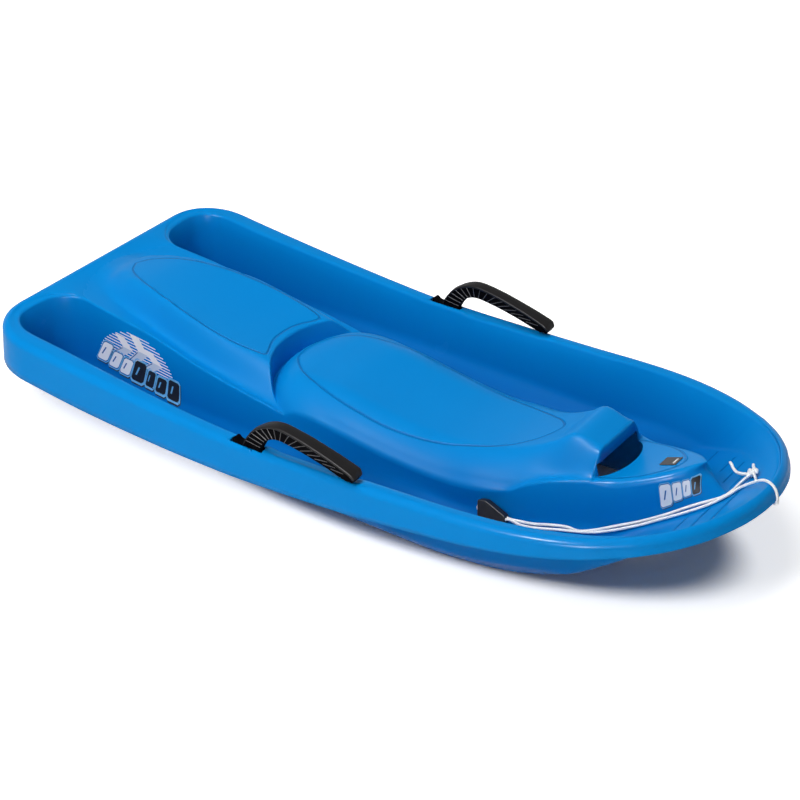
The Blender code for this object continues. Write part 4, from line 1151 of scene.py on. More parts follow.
def blue_plastic_material():
    """Blue moulded plastic: satin rim and channels, finely grained seats with a line round them, and painted
    shade deep in the channels and in the moulded lines.
    """
    material, tree, shader = new_material("blue_moulded", blue_colour, blue_roughness,
                                          specular=blue_specular)
    grain = add_group(tree, moulded_grain, Grain_Size=hull_grain_size, Wave_Size=hull_wave_size,
                      Wave_Share=0.0)
    lines, cross = line_group(), cross_line_group()
    seat = stored(tree, "matt")

    def line_at(name, half_width):
        return add_group(tree, lines, Distance=stored(tree, name), Half_Width=half_width).outputs["Line"]

    grooves = add_math(tree, "MAXIMUM", line_at("rear_seat_line", groove_half_width),
                       line_at("front_seat_line", groove_half_width))
    grooves = add_math(tree, "MULTIPLY", grooves, seat)
    for name, half_width, share in (("panel_line", groove_half_width, panel_line_share),
                                    ("rim_crease", rim_crease_half_width, rim_crease_share)):
        faint = add_math(tree, "MULTIPLY", line_at(name, half_width), share)
        grooves = add_math(tree, "MAXIMUM", grooves, faint)
    for place, inner, outer in cross_lines:
        line = add_group(tree, cross, Place=place, Inner=inner, Outer=outer,
                         Half_Width=cross_line_half_width)
        grooves = add_math(tree, "MAXIMUM", grooves, line.outputs["Line"])
    depth = add_math(tree, "MULTIPLY", grooves, -groove_depth)
    rough_grain = add_math(tree, "MULTIPLY_ADD", seat, seat_grain_share, rim_grain_share)
    height = add_math(tree, "MULTIPLY_ADD", grain.outputs["Height"], rough_grain, depth)
    add_bump(tree, shader, height, hull_relief, 1.0)
    mottle = grain.outputs["Mottle"]
    tint = blend_colours(tree, blue_shade_colour, blue_colour, mottle)
    # Painted shade: the blue darkens with the mesh's depth below the rim.
    tint = blend_colours(tree, tint, blue_painted_shade_colour, stored(tree, "deep"))
    # Painted shade along the grooves and lines.
    groove_painted_shade = add_math(tree, "MULTIPLY", grooves, groove_painted_shade_share)
    rough = add_math(tree, "MULTIPLY_ADD", seat, seat_roughness, blue_roughness)
    rough = add_math(tree, "MULTIPLY_ADD", mottle, blue_mottle_roughness, rough)
    feed(tree, shader, {"Base Color": blend_colours(tree, tint, blue_painted_shade_colour, groove_painted_shade),
                        "Roughness": rough})
    return material


def block(low, high):
    """Mesh of a box between two corners."""
    outline = [Vector((x, y, low[2])) for x, y in ((low[0], low[1]), (high[0], low[1]),
                                                   (high[0], high[1]), (low[0], high[1]))]
    return prism(round_outline(outline, lug_corner_radius, 3), Vector((0.0, 0.0, high[2] - low[2])))


def bar_along_y(radius, low, high, place, height):
    """Mesh of a round bar along Y between two widths."""
    outline = [Vector((place + radius * math.cos(turn), low, height + radius * math.sin(turn)))
               for turn in (2 * math.pi * i / bar_around for i in range(bar_around))]
    return prism(outline, Vector((0.0, high - low, 0.0)))


def open_hole(mesh, outline, low, high):
    """Hole through the sheet where a convex upright prism meets it."""
    planes = [(Vector((0.0, 0.0, high)), Vector((0.0, 0.0, 1.0))),
              (Vector((0.0, 0.0, low)), Vector((0.0, 0.0, -1.0)))]
    for start, end in zip(outline, [*outline[1:], outline[0]]):
        way = (end - start).normalized()
        planes.append((Vector((*start, 0.0)), Vector((way.y, -way.x, 0.0))))
    near = [min(point[i] for point in outline) - hole_reach for i in (0, 1)]
    far = [max(point[i] for point in outline) + hole_reach for i in (0, 1)]
    inside = [face for face in mesh.faces
              if all(near[i] < face.calc_center_bounds()[i] < far[i] for i in (0, 1))]
    for place, way in planes:
        geometry = {item for face in inside for item in (face, *face.edges, *face.verts)}
        cut = bmesh.ops.bisect_plane(mesh, geom=list(geometry), dist=hole_snap, plane_co=place,
                                     plane_no=way)
        faces = [item for item in cut["geom"] if isinstance(item, bmesh.types.BMFace)]
        inside = [face for face in faces if (face.calc_center_median() - place).dot(way) < 0.0]
    bmesh.ops.delete(mesh, geom=inside, context="FACES")
    wide = [face for face in mesh.faces if len(face.verts) > 4]
    bmesh.ops.triangulate(mesh, faces=wide)


def cut_hull_holes(mesh):
    """Hand opening in front of the grip bar, rope hole in the ramp and the slots of the levers."""
    rear = grip_bar_place + grip_bar_depth - shell_thickness - cut_overrun / 2
    outline = [Vector((rear + hand_hole_reach * math.cos(angle), hand_hole_half_width * math.sin(angle)))
               for angle in np.linspace(-math.pi / 2, math.pi / 2, hand_hole_steps + 1)]
    open_hole(mesh, outline, console_edge(rear)[1] - hand_hole_depth,
              grip_bar_front_height - hand_hole_face_height)
    centre = Vector(rope_hole_place)
    outline = [centre + rope_hole_radius * Vector((math.cos(turn), math.sin(turn)))
               for turn in (2 * math.pi * i / rope_hole_steps for i in range(rope_hole_steps))]
    height = floor_top(centre.x)
    open_hole(mesh, outline, height - cut_overrun, height + cut_overrun)
    for side in (1, -1):
        near, far = sorted((side * (lever_inner - lever_side_gap), side * (lever_outer + lever_side_gap)))
        rear, front = pivot_place - slot_rear_reach, pivot_place + slot_front_reach
        corners = [Vector((rear, near)), Vector((front, near)), Vector((front, far)), Vector((rear, far))]
        open_hole(mesh, round_outline(corners, slot_corner_radius, 4),
                  rim_top(pivot_place) - slot_cut_reach, rim_top(pivot_place) + slot_cut_reach)


def rim_lugs():
    """Lugs under the rim that hold the pins of the levers, with their pin holes cut."""
    lugs = []
    low, high = pivot_height - lug_half_length, rim_top(pivot_place) - shell_thickness / 2
    spans = ((wall_outer - shell_thickness / 2, lever_inner - lever_side_gap),
             (lever_outer + lever_side_gap, skirt_inner + shell_thickness / 2))
    for side in (1, -1):
        for inner, outer in spans:
            near, far = sorted((side * inner, side * outer))
            lug = new_piece("lug", block((pivot_place - lug_half_length, near, low),
                                         (pivot_place + lug_half_length, far, high)), [])
            hole_ends = sorted((side * (wall_outer + lug_hole_inset), side * (skirt_inner + lug_hole_outset)))
            hole = bar_along_y(pin_radius + pin_clearance, *hole_ends, pivot_place, pivot_height)
            cut_with(lug, hole, "lug_hole")
            lugs.append(lug)
    return lugs


def add_meshes(piece, others, slots=None):
    """Put other pieces' meshes into a piece, each with a material slot, and remove them."""
    mesh = bmesh.new()
    mesh.from_mesh(piece.data)
    for i, other in enumerate(others):
        start = len(mesh.faces)
        mesh.from_mesh(other.data)
        mesh.faces.ensure_lookup_table()
        for face in mesh.faces[start:]:
            face.smooth = True
            if slots:
                face.material_index = slots[i]
        bpy.data.objects.remove(other)
    mesh.to_mesh(piece.data)
    mesh.free()


pivot_place = -0.087
pivot_drop = 0.012
pivot_height = rim_top(pivot_place) - pivot_drop
pin_radius = 0.0025
lever_thickness = 0.0135
lever_side_gap = 0.0006
lever_skirt_gap = 0.0027
pin_clearance = 0.0003
bar_around = 32
lug_half_length = 0.008
lug_corner_radius = 0.001
lug_hole_inset = 0.0005
lug_hole_outset = 0.001
slot_rear_reach = 0.0345
slot_front_reach = 0.025
slot_corner_radius = 0.0015
slot_cut_reach = 0.008
rope_hole_place = (0.5618, 0.0413)
rope_hole_radius = 0.0035
rope_hole_steps = 24
hole_reach = 0.03
hole_snap = 0.00001
cut_overrun = 0.004
hand_hole_half_width = 0.058
hand_hole_reach = 0.034
hand_hole_face_height = 0.019
hand_hole_depth = 0.012
hand_hole_steps = 32
skirt_inner = side_half_width(pivot_place) - shell_thickness
wall_outer = (side_half_width(pivot_place) - band_at(pivot_place) + shell_thickness
              - wall_lean * pivot_drop / rim_height)
lever_outer = skirt_inner - lever_skirt_gap - lever_side_gap
lever_inner = lever_outer - lever_thickness
lever_middle = (lever_outer + lever_inner) / 2
shell_mesh = both_halves(hull_half())
press_recesses(shell_mesh)
cut_hull_holes(shell_mesh)
hull = new_piece("hull_shell", shell_mesh, [blue_plastic_material()])
thicken = hull.modifiers.new("thickness", "SOLIDIFY")
thicken.thickness = shell_thickness
thicken.offset = -1.0
thicken.use_even_offset = True
thicken.use_quality_normals = True
settle(hull)
add_meshes(hull, rim_lugs())
hull.data.shade_smooth()
hull_points = piece_points(hull)
for line_name, line_points, line_steps in (("rear_seat_line", rear_seat_line, seat_line_steps),
                                           ("front_seat_line", front_seat_line, seat_line_steps),
                                           ("panel_line", panel_line, panel_line_steps)):
    keep_value(hull, line_name, plan_distance(hull_points[:, :2], rounded_plan(line_points, line_steps)))
rim_distance = np.empty(len(hull_points), np.float32)
hull.data.attributes["from_rim"].data.foreach_get("value", rim_distance)
crease_shares = (hull_points[:, 0] - rim_crease_start) / (rim_crease_end - rim_crease_start)
crease_off = (1 - np.clip(crease_shares, 0.0, 1.0)) * rim_crease_off
# Painted shade: how far a point lies below the rim, away from the rim's edge; the blue darkens by it.
rim_line = np.linspace(-half_length, half_length, rim_samples)
rim_heights = np.interp(hull_points[:, 0], rim_line, [rim_top(place) for place in rim_line])
painted_shade_depth = np.clip((rim_heights - painted_shade_start - hull_points[:, 2]) / painted_shade_run, 0.0, 1.0)
keep_value(hull, "deep", painted_shade_depth * np.clip(rim_distance / painted_shade_rim_run - painted_shade_rim_share, 0.0, 1.0))
keep_value(hull, "rim_crease", np.abs(rim_distance - rim_crease_inset) + crease_off)
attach(hull, "body")
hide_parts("hull")

# Brake levers: one black moulding each. A wide smooth top skin runs over a ribbed web, a boss
# turns on the pin in the rim's slot, and a claw arm below digs into the snow.
lever_reach = 0.193
lever_rise = 0.070
lever_grip_width = 0.025
lever_skin_thickness = 0.0050
lever_skin_base = 0.0012
lever_skin_overhang = 0.0011
lever_skin_crown = 0.0016
lever_skin_start = 0.10
lever_skin_run = 0.40
lever_web_start_share = 0.6
lever_web_corner_share = 0.8
lever_corner = 0.0024
lever_section_steps = 4
lever_crown_share = 0.75
lever_ring_steps = 6
lever_plate_round = 0.0008
lever_plate_corner = 0.003
rib_radius = 0.00055
rib_spacing = 0.0088
rib_spread = 1.75
rib_start = 0.012
rib_end_gap = 0.012
rib_lean = math.radians(60)
rib_around = 8
rib_lean_start = 0.26
rib_lean_run = 0.30
rib_short_share = 0.18
rib_skin_share = 0.85
rib_bottom_gap = 0.0012
# Painted highlight: the ribs are grey for the light they catch, though the lever is one black moulding.
rib_painted_highlight_colour = (0.115, 0.115, 0.120)
# Painted light and shade: the top skin is a lighter copy of the black, the web a darker one.
skin_painted_light_colour = (0.0048, 0.0045, 0.0052)
web_painted_shade_colour = (0.0018, 0.0018, 0.0028)
skin_painted_light_worn_colour = (0.0075, 0.0070, 0.0078)
web_painted_shade_worn_colour = (0.0035, 0.0035, 0.0045)
rib_painted_highlight_worn_colour = (0.085, 0.085, 0.090)
web_roughness = (0.45, 0.60)
skin_roughness = (0.40, 0.55)
rib_roughness = (0.30, 0.40)
web_specular = 0.01
skin_specular = 0.26
lever_tip_round = 0.0042
lever_tip_steps = 4
lever_tip_turn = math.radians(80)
lever_tip_flat = 0.75
claw_length = 0.125
handle_top_shares = ((-0.047, 0.114), (-0.044, 0.214), (0.036, 0.565), (0.14, 0.795), (0.264, 0.92),
                     (0.45, 0.885), (0.71, 0.73), (0.89, 0.59), (0.965, 0.51), (0.978, 0.465))
handle_bottom_shares = ((0.109, 0.114), (0.109, 0.19), (0.166, 0.45), (0.223, 0.565), (0.295, 0.62),
                        (0.45, 0.585), (0.674, 0.475), (0.84, 0.365), (0.915, 0.325), (0.948, 0.335))
handle_width_shares = (0.54, 0.54, 0.64, 0.72, 0.78, 0.82, 0.88, 0.96, 1.0, 0.92)
heel_outline_shares = ((-0.148, 0.10), (-0.148, 0.25), (-0.128, 0.25), (-0.105, 0.19), (-0.06, 0.18),
                       (0.0, 0.22), (0.10, 0.20), (0.109, 0.10), (0.05, -0.06), (0.0, -0.11),
                       (-0.05, -0.07))
claw_outline_shares = ((-0.02, -0.085), (-0.40, -0.175), (-0.78, -0.27), (-0.885, -0.315),
                       (-0.925, -0.345), (-1.0, -0.305), (-0.985, -0.235), (-0.80, -0.155),
                       (-0.40, -0.045), (-0.10, 0.02), (0.0, 0.05))


def lever_lines():
    """Upper and lower edge of the handle and its width, in many steps from the slot to the tip."""
    upper, lower = [curve_through([Vector((x * lever_reach, 0.0, z * lever_rise)) for x, z in shares],
                                  lever_ring_steps)
                    for shares in (handle_top_shares, handle_bottom_shares)]
    fine = np.arange(len(upper)) / lever_ring_steps
    widths = np.interp(fine, np.arange(len(handle_width_shares)), handle_width_shares)
    return upper, lower, widths * lever_grip_width


def rounded_section(top, bottom, width, corner, crown):
    """Ring of a rounded section between a top and a bottom point, with a crowned top."""
    down = (bottom - top).normalized()
    height = (bottom - top).length
    corner = min(corner, height * corner_most_share)
    ring = []
    for across, drop in ((-1, 1), (1, 1), (1, 0), (-1, 0)):
        for step in range(lever_section_steps + 1):
            turn = step / lever_section_steps * math.pi / 2
            near, far = math.sin(turn), math.cos(turn)
            if (across > 0) != (drop > 0):
                near, far = far, near
            side = across * (width / 2 - corner + corner * near)
            depth = (height - corner + corner * far) if drop else (corner - corner * far)
            ring.append(top + down * depth + Vector((0.0, side, 0.0)))
        if (across, drop) == (1, 0):
            for share in (0.5, 0.0, -0.5):
                rise = down * crown * (share * share * 4 - 1) * lever_crown_share
                ring.append(top + rise + Vector((0.0, share * (width - 2 * corner), 0.0)))
    return ring


def skin_depth(share):
    """Thickness of the skin at a share of the way along the handle: thin at the slot."""
    grown = ease((share - lever_skin_start) / lever_skin_run)
    return mix(lever_skin_base, lever_skin_thickness, grown)


def rounded_tip(rings, ahead):
    """Rings with a few smaller ones added in front, so that the handle ends in a round nose."""
    last = rings[-1]
    middle = sum(last, Vector()) / len(last)
    for step in range(1, lever_tip_steps + 1):
        turn = step / lever_tip_steps * lever_tip_turn
        shrink = 1 - lever_tip_round * (1 - math.cos(turn)) / (lever_grip_width / 2)
        flat = 1 - lever_tip_flat * (1 - math.cos(turn))
        ring = []
        for point in last:
            off = point - middle
            ring.append(middle + ahead * lever_tip_round * math.sin(turn)
                        + Vector((off.x * flat, off.y * shrink, off.z * flat)))
        rings.append(ring)
    return rings


def lever_loft(section):
    """Body along the handle, from a function of top, bottom, skin and width; round at the tip."""
    upper, lower, widths = lever_lines()
    rings = []
    for i, (top, bottom) in enumerate(zip(upper, lower)):
        skin = (bottom - top).normalized() * skin_depth(i / (len(upper) - 1))
        rings.append(section(top, bottom, skin, widths[i]))
    return loft(rounded_tip(rings, (upper[-1] - upper[-4]).normalized()))


def skin_section(top, bottom, skin, width):
    """Ring of the smooth upper skin of the handle."""
    return rounded_section(top, top + skin, width, lever_corner, lever_skin_crown)


def web_section(top, bottom, skin, width):
    """Ring of the handle's body under its skin, a little narrower."""
    return rounded_section(top + skin * lever_web_start_share, bottom, width - 2 * lever_skin_overhang,
                           lever_corner * lever_web_corner_share, 0.0)


def rib_points(name):
    """Places, leans and lengths of the ribs on both flanks, kept on loose points."""
    upper, lower, widths = lever_lines()
    run = run_lengths([(top + bottom) / 2 for top, bottom in zip(upper, lower)])
    rib_places = [rib_start]
    while rib_places[-1] < run[-1] - rib_end_gap:
        spread = mix(1.0, rib_spread, ease(rib_places[-1] / run[-1]))
        rib_places.append(rib_places[-1] + rib_spacing * spread)
    places, leans, heights = [], [], []
    for place in rib_places[:-1]:
        fine = float(np.interp(place, run, np.arange(len(run))))
        i = min(int(fine), len(run) - 2)
        top, bottom = [line[i].lerp(line[i + 1], fine - i) for line in (upper, lower)]
        width = float(np.interp(fine, np.arange(len(run)), widths))
        way = (top - bottom).normalized()
        top = top - way * skin_depth(place / run[-1]) * rib_skin_share
        bottom = bottom + way * rib_bottom_gap
        slant = rib_lean * ease((place / run[-1] - rib_lean_start) / rib_lean_run)
        reach = (top - bottom).length / math.cos(slant) * (1 - rib_short_share * slant / rib_lean)
        middle = (top + bottom) / 2
        for flank in (1, -1):
            places.append((middle.x, flank * (width / 2 - lever_skin_overhang), middle.z))
            leans.append(math.atan2(way.x, way.z) + slant)
            heights.append(reach)
    mesh = bpy.data.meshes.new(name)
    mesh.from_pydata(places, [], [])
    for label, values in (("lean", leans), ("height", heights)):
        mesh.attributes.new(label, "FLOAT", "POINT").data.foreach_set("value", np.array(values, np.float32))
    piece = bpy.data.objects.new(name, mesh)
    bpy.context.scene.collection.objects.link(piece)
    return piece


def rib_tree(material):
    """Geometry nodes that stand one slim round rib on every point, leant and cut to its length."""
    tree = bpy.data.node_groups.new("lever_ribs", "GeometryNodeTree")
    for label, way, kind in (("Geometry", "INPUT", "Geometry"), ("Rib Radius", "INPUT", "Float"),
                             ("Geometry", "OUTPUT", "Geometry")):
        tree.interface.new_socket(label, in_out=way, socket_type="NodeSocket" + kind)
    given, put = tree.nodes.new("NodeGroupInput"), tree.nodes.new("NodeGroupOutput")
    line = add_node(tree, "GeometryNodeCurvePrimitiveLine",
                    {"Start": (0.0, 0.0, -0.5), "End": (0.0, 0.0, 0.5)})
    ring = add_node(tree, "GeometryNodeCurvePrimitiveCircle",
                    {"Resolution": rib_around, "Radius": given.outputs["Rib Radius"]})
    body = add_node(tree, "GeometryNodeCurveToMesh",
                    {"Curve": line.outputs["Curve"], "Profile Curve": ring.outputs["Curve"],
                     "Fill Caps": True})
    kept = []
    for label in ("lean", "height"):
        node = add_node(tree, "GeometryNodeInputNamedAttribute", {"Name": label})
        kept.append([item for item in node.outputs if item.name == "Attribute" and item.enabled][0])
    turn = add_node(tree, "ShaderNodeCombineXYZ", {"Y": kept[0]})
    size = add_node(tree, "ShaderNodeCombineXYZ", {"X": 1.0, "Y": 1.0, "Z": kept[1]})
    place = add_node(tree, "GeometryNodeInstanceOnPoints",
                     {"Points": given.outputs["Geometry"], "Instance": body.outputs["Mesh"],
                      "Rotation": turn.outputs[0], "Scale": size.outputs[0]})
    real = add_node(tree, "GeometryNodeRealizeInstances", {"Geometry": place.outputs["Instances"]})
    cover = add_node(tree, "GeometryNodeSetMaterial",
                     {"Geometry": real.outputs["Geometry"], "Material": material})
    feed(tree, put, {"Geometry": cover.outputs["Geometry"]})
    return tree


def grown_ribs(material):
    """Ribs of one lever as a plain mesh."""
    ribs = rib_points("ribs")
    tree = rib_tree(material)
    modifier = ribs.modifiers.new("ribs", "NODES")
    modifier.node_group = tree
    sizes = [item for item in tree.interface.items_tree if item.name == "Rib Radius"]
    modifier[sizes[0].identifier] = rib_radius
    settle(ribs)
    return ribs


def lever_plate(outline, size, corner):
    """Plate of the lever's thickness with rounded corners, drawn from the pivot."""
    points = [Vector((x * size[0], -lever_thickness / 2, z * size[1])) for x, z in outline]
    return prism(round_outline(points, corner, 3), Vector((0.0, lever_thickness, 0.0)))


def brake_lever(name, side):
    """Whole lever at its place, its materials in slots: web, skin, ribs."""
    parts = [new_piece("skin", lever_loft(skin_section), []), grown_ribs(rib_painted_highlight_plastic)]
    for label, outline, size in (("heel", heel_outline_shares, (lever_reach, lever_rise)),
                                 ("claw", claw_outline_shares, (claw_length, claw_length))):
        plate = new_piece(label, lever_plate(outline, size, lever_plate_corner), [])
        round_edges(plate, lever_plate_round, 2)
        pin_way = bar_along_y(pin_radius + pin_clearance, -lever_thickness, lever_thickness, 0.0, 0.0)
        cut_with(plate, pin_way, "pin_way")
        parts.append(plate)
    lever = new_piece(name, lever_loft(web_section), [web_painted_shade_plastic, skin_painted_light_plastic, rib_painted_highlight_plastic])
    add_meshes(lever, parts, (1, 2, 0, 0))
    for vert in lever.data.vertices:
        vert.co = Vector((vert.co.x + pivot_place, vert.co.y + side * lever_middle,
                          vert.co.z + pivot_height))
    return lever


# Lit and shaded copies of one black plastic: painted light on the skin, painted shade on the web.
web_painted_shade_plastic = plain_plastic("lever_web_painted_shade", web_painted_shade_colour, web_painted_shade_worn_colour, web_roughness, web_specular)
skin_painted_light_plastic = plain_plastic("lever_skin_painted_light", skin_painted_light_colour, skin_painted_light_worn_colour, skin_roughness, skin_specular)
# Grey ribs as a painted highlight.
rib_painted_highlight_plastic = plain_plastic("lever_rib", rib_painted_highlight_colour, rib_painted_highlight_worn_colour, rib_roughness)
for lever_body, lever_side in (("left_lever", 1), ("right_lever", -1)):
    side_name = lever_body.split("_")[0]
    lever = brake_lever(side_name + "_lever_moulding", lever_side)
    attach(lever, lever_body)
    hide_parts(side_name + "_brake_lever")

# Pivot pins: short turned steel pins, pressed into the lugs under the rim. They keep their
# modelled shape and get a finish of turned steel.
steel_colour = (0.56, 0.56, 0.58)
steel_worn_colour = (0.40, 0.40, 0.42)
steel_roughness = 0.2
steel_mottle_roughness = 0.25
steel_grain_size = 0.0005
steel_wave_size = 0.004
turning_scale = 900.0
turning_distortion = 1.5
turning_relief = 0.00003
turning_strength = 0.5


def steel_material():
    """Turned steel: fine rings round the pin, a few darker patches and uneven gloss."""
    material, tree, shader = new_material("turned_steel", steel_colour, steel_roughness, metallic=1.0)
    place = tree.nodes.new("ShaderNodeTexCoord")
    rings = add_node(tree, "ShaderNodeTexWave",
                     {"Vector": place.outputs["Object"], "Scale": turning_scale,
                      "Distortion": turning_distortion}, bands_direction="Y")
    add_bump(tree, shader, rings.outputs["Fac"], turning_relief, turning_strength)
    mottle = add_group(tree, moulded_grain, Grain_Size=steel_grain_size,
                       Wave_Size=steel_wave_size).outputs["Mottle"]
    rough = add_math(tree, "MULTIPLY_ADD", mottle, steel_mottle_roughness, steel_roughness)
    feed(tree, shader, {"Base Color": blend_colours(tree, steel_colour, steel_worn_colour, mottle),
                        "Roughness": rough})
    return material


turned_steel = steel_material()
for pin_name in ("left_pivot_pin", "right_pivot_pin"):
    for pin_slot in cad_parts[pin_name].material_slots:
        pin_slot.material = turned_steel

# Nose plate: a small dark plate with no print but one white bar, laid on the tongue's panel.
label_rear_share = 0.498
label_front_share = 0.705
label_length = 0.026
label_width = 0.023
label_thickness = 0.0008
label_lift = 0.0003
label_corner = 0.0012
label_edge_radius = 0.0002
label_bar_sink = 0.0001
label_bar_place = 0.0075
label_bar_size = (0.0030, 0.0140)
label_colour = (0.040, 0.040, 0.042)
label_worn_colour = (0.055, 0.055, 0.057)
label_bar_colour = (0.80, 0.80, 0.79)
label_bar_worn_colour = (0.74, 0.74, 0.73)
label_roughness = (0.35, 0.5)


def plate_on_tongue(length, width, low, high, ahead):
    """Rounded plate parallel to the tongue's top, its middle a little ahead of the label's."""
    stations = console_stations()[-len(tongue_station_shares):]
    start, end = [console_point(stations[tongue_station_shares.index(share)], 0.0)
                  for share in (label_rear_share, label_front_share)]
    along = (end - start).normalized()
    up = Vector((-along.z, 0.0, along.x))
    middle = (start + end) / 2 + along * ahead
    corners = [middle + along * length / 2 * x + Vector((0.0, width / 2 * y, 0.0)) + up * low
               for x, y in ((-1, -1), (1, -1), (1, 1), (-1, 1))]
    return prism(round_outline(corners, label_corner, 4), up * (high - low))


label_top = label_lift + label_thickness
label = new_piece("nose_plate", plate_on_tongue(label_length, label_width, label_lift, label_top, 0.0),
                  [plain_plastic("plate_grey", label_colour, label_worn_colour, label_roughness),
                   plain_plastic("plate_white", label_bar_colour, label_bar_worn_colour, label_roughness)])
round_edges(label, label_edge_radius, 2)
label_bar = new_piece("bar", plate_on_tongue(*label_bar_size, label_top - label_bar_sink,
                                             label_top + label_bar_sink, label_bar_place), [])
add_meshes(label, [label_bar], (1,))
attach(label, "body")
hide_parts("nose_label")

# Printed stickers: one on the console's right wall and one on the tongue's right flank. Thin
# vinyl with a plain pattern of cut blocks, arrows and fine rules in white, grey, black and blues.
# Their shapes are drawn in shares of the sticker: across from its left edge and up from its foot.
ink_lift = 0.00016
ink_step = 0.00009
ink_cells = (44, 22)
ink_worn_share = 0.93
ink_roughness = (0.30, 0.42)
pale_blue, black, white, grey, deep_blue = range(5)
ink_colours = (("ink_pale_blue", (0.150, 0.470, 0.800)), ("ink_black", (0.012, 0.012, 0.014)),
               ("ink_white", (0.930, 0.935, 0.940)), ("ink_grey", (0.600, 0.690, 0.800)),
               ("ink_deep_blue", (0.002, 0.110, 0.360)))
rear_print_corners = ((-0.512, 0.040), (-0.313, 0.033), (-0.338, 0.108), (-0.490, 0.121))
nose_print_corners = ((0.4630, 0.0990), (0.5135, 0.1310), (0.5020, 0.1560), (0.4530, 0.1400))
rear_print_start = -0.165
nose_print_start = -0.085
gem_slant = 0.045
gem_chamfer = 0.15
gem_corner = 0.10
# Each edge of a block: growth across, growth up, layer of ink and ink.
gem_edges = ((0.012, 0.045, 1, pale_blue), (0.005, 0.020, 2, deep_blue))
gem_shadow = (0.005, -0.024)
# The slit in a block, in shares of the block: place, width, slant, start and end.
gem_slit_shares = (0.34, 0.13, 0.26, 0.30, 0.72)
rule_levels = [0.44 + i * 0.058 for i in range(10)]
rule_height = 0.021
rule_centre = (0.47, 0.40)
rule_reach = (0.44, 0.60)
arrow_levels = ((0.44, 0.84), (0.42, 0.98), (0.42, 0.80))
arrow_start = 0.17
arrow_spacing = 0.185
arrow_size = 0.125
# The dark line in an arrow: place, width, lift, share of the height where it ends, and slant.
arrow_line = (0.20, 0.012, 0.03, 0.44, 0.085)
# Each block: left edge, width, foot, top, and whether it is dark.
rear_gems = ((0.020, 0.115, 0.16, 0.56, False), (0.158, 0.105, 0.12, 0.46, False),
             (0.286, 0.105, 0.09, 0.43, False), (0.416, 0.135, 0.06, 0.50, True),
             (0.574, 0.085, 0.07, 0.42, True), (0.683, 0.105, 0.05, 0.38, True),
             (0.812, 0.125, 0.03, 0.44, True))
nose_gems = ((0.040, 0.270, 0.04, 0.88, False), (0.350, 0.205, 0.12, 0.86, False),
             (0.590, 0.170, 0.16, 0.86, False), (0.790, 0.170, 0.12, 0.90, True))
nose_gem_scale = 1.4


def slanted_bar(left, width, low, high, slant):
    """Corners of one slanted bar on a sticker."""
    return ((left, low), (left + width, low), (left + width + slant, high), (left + slant, high))


def gem(left, width, low, high, grow=(0.0, 0.0), shift=(0.0, 0.0)):
    """Three quads of a slanted block with cut corners, grown all round and shifted."""
    left, width = left - grow[0] + shift[0], width + 2 * grow[0]
    low, high = low - grow[1] + shift[1], high + grow[1] + shift[1]
    cut = gem_chamfer * width
    levels = (low, mix(low, high, gem_corner), mix(low, high, 1 - gem_corner), high)
    insets = (cut, 0.0, 0.0, cut)
    quads = []
    for i in range(3):
        first, second = (gem_slant * (levels[j] - low) / (high - low) for j in (i, i + 1))
        quads.append(((left + insets[i] + first, levels[i]), (left + width - insets[i] + first, levels[i]),
                      (left + width - insets[i + 1] + second, levels[i + 1]),
                      (left + insets[i + 1] + second, levels[i + 1])))
    return quads


def arrow_arms(left, reach, width, low, high):
    """Corners of the two arms of one arrow that points forward."""
    middle = (low + high) / 2
    return (((left, low), (left + width, low), (left + reach + width, middle), (left + reach, middle)),
            ((left + reach, middle), (left + reach + width, middle), (left + width, high), (left, high)))


def gem_row(gems, scale=1.0):
    """Ink shapes of a row of blocks: shadow, pale edge, dark line, the block and a slit in it."""
    shapes = []
    for left, width, low, high, dark in gems:
        outer = [part * scale for part in gem_edges[0][:2]]
        shadow = [part * scale for part in gem_shadow]
        shapes += [(quad, 0, black) for quad in gem(left, width, low, high, outer, shadow)]
        for across, tall, layer, ink in gem_edges:
            if not (dark and ink == deep_blue):
                grown = (across * scale, tall * scale)
                shapes += [(quad, layer, ink) for quad in gem(left, width, low, high, grown)]
        shapes += [(quad, 3, black if dark else white) for quad in gem(left, width, low, high)]
        place, thick, slant, start, end = gem_slit_shares
        slit = slanted_bar(left + width * place, width * thick, mix(low, high, start),
                           mix(low, high, end), width * slant)
        shapes.append((slit, 4, pale_blue if dark else deep_blue))
    return shapes


def rear_print_shapes():
    """Shapes of the larger sticker: fine rules in a half round, folded arrows and a row of blocks."""
    shapes = []
    for level in rule_levels:
        height_share = (level - rule_centre[1]) / rule_reach[1]
        reach = rule_reach[0] * math.sqrt(max(1 - height_share ** 2, 0.0))
        rule = slanted_bar(rule_centre[0] - reach, 2 * reach, level, level + rule_height, 0.0)
        shapes.append((rule, 0, white))
    place, width, lift, top_share, slant = arrow_line
    for i, (low, high) in enumerate(arrow_levels):
        across = i * arrow_spacing
        lower, upper = arrow_arms(arrow_start + across, arrow_size, arrow_size, low, high)
        line = slanted_bar(place + across, width, low + lift, mix(low, high, top_share), slant)
        shapes += [(lower, 1, grey), (upper, 1, white), (line, 2, deep_blue)]
    return shapes + gem_row(rear_gems)


def nose_print_shapes():
    """Shapes of the smaller sticker: four blocks that get smaller towards the nose."""
    return gem_row(nose_gems, nose_gem_scale)


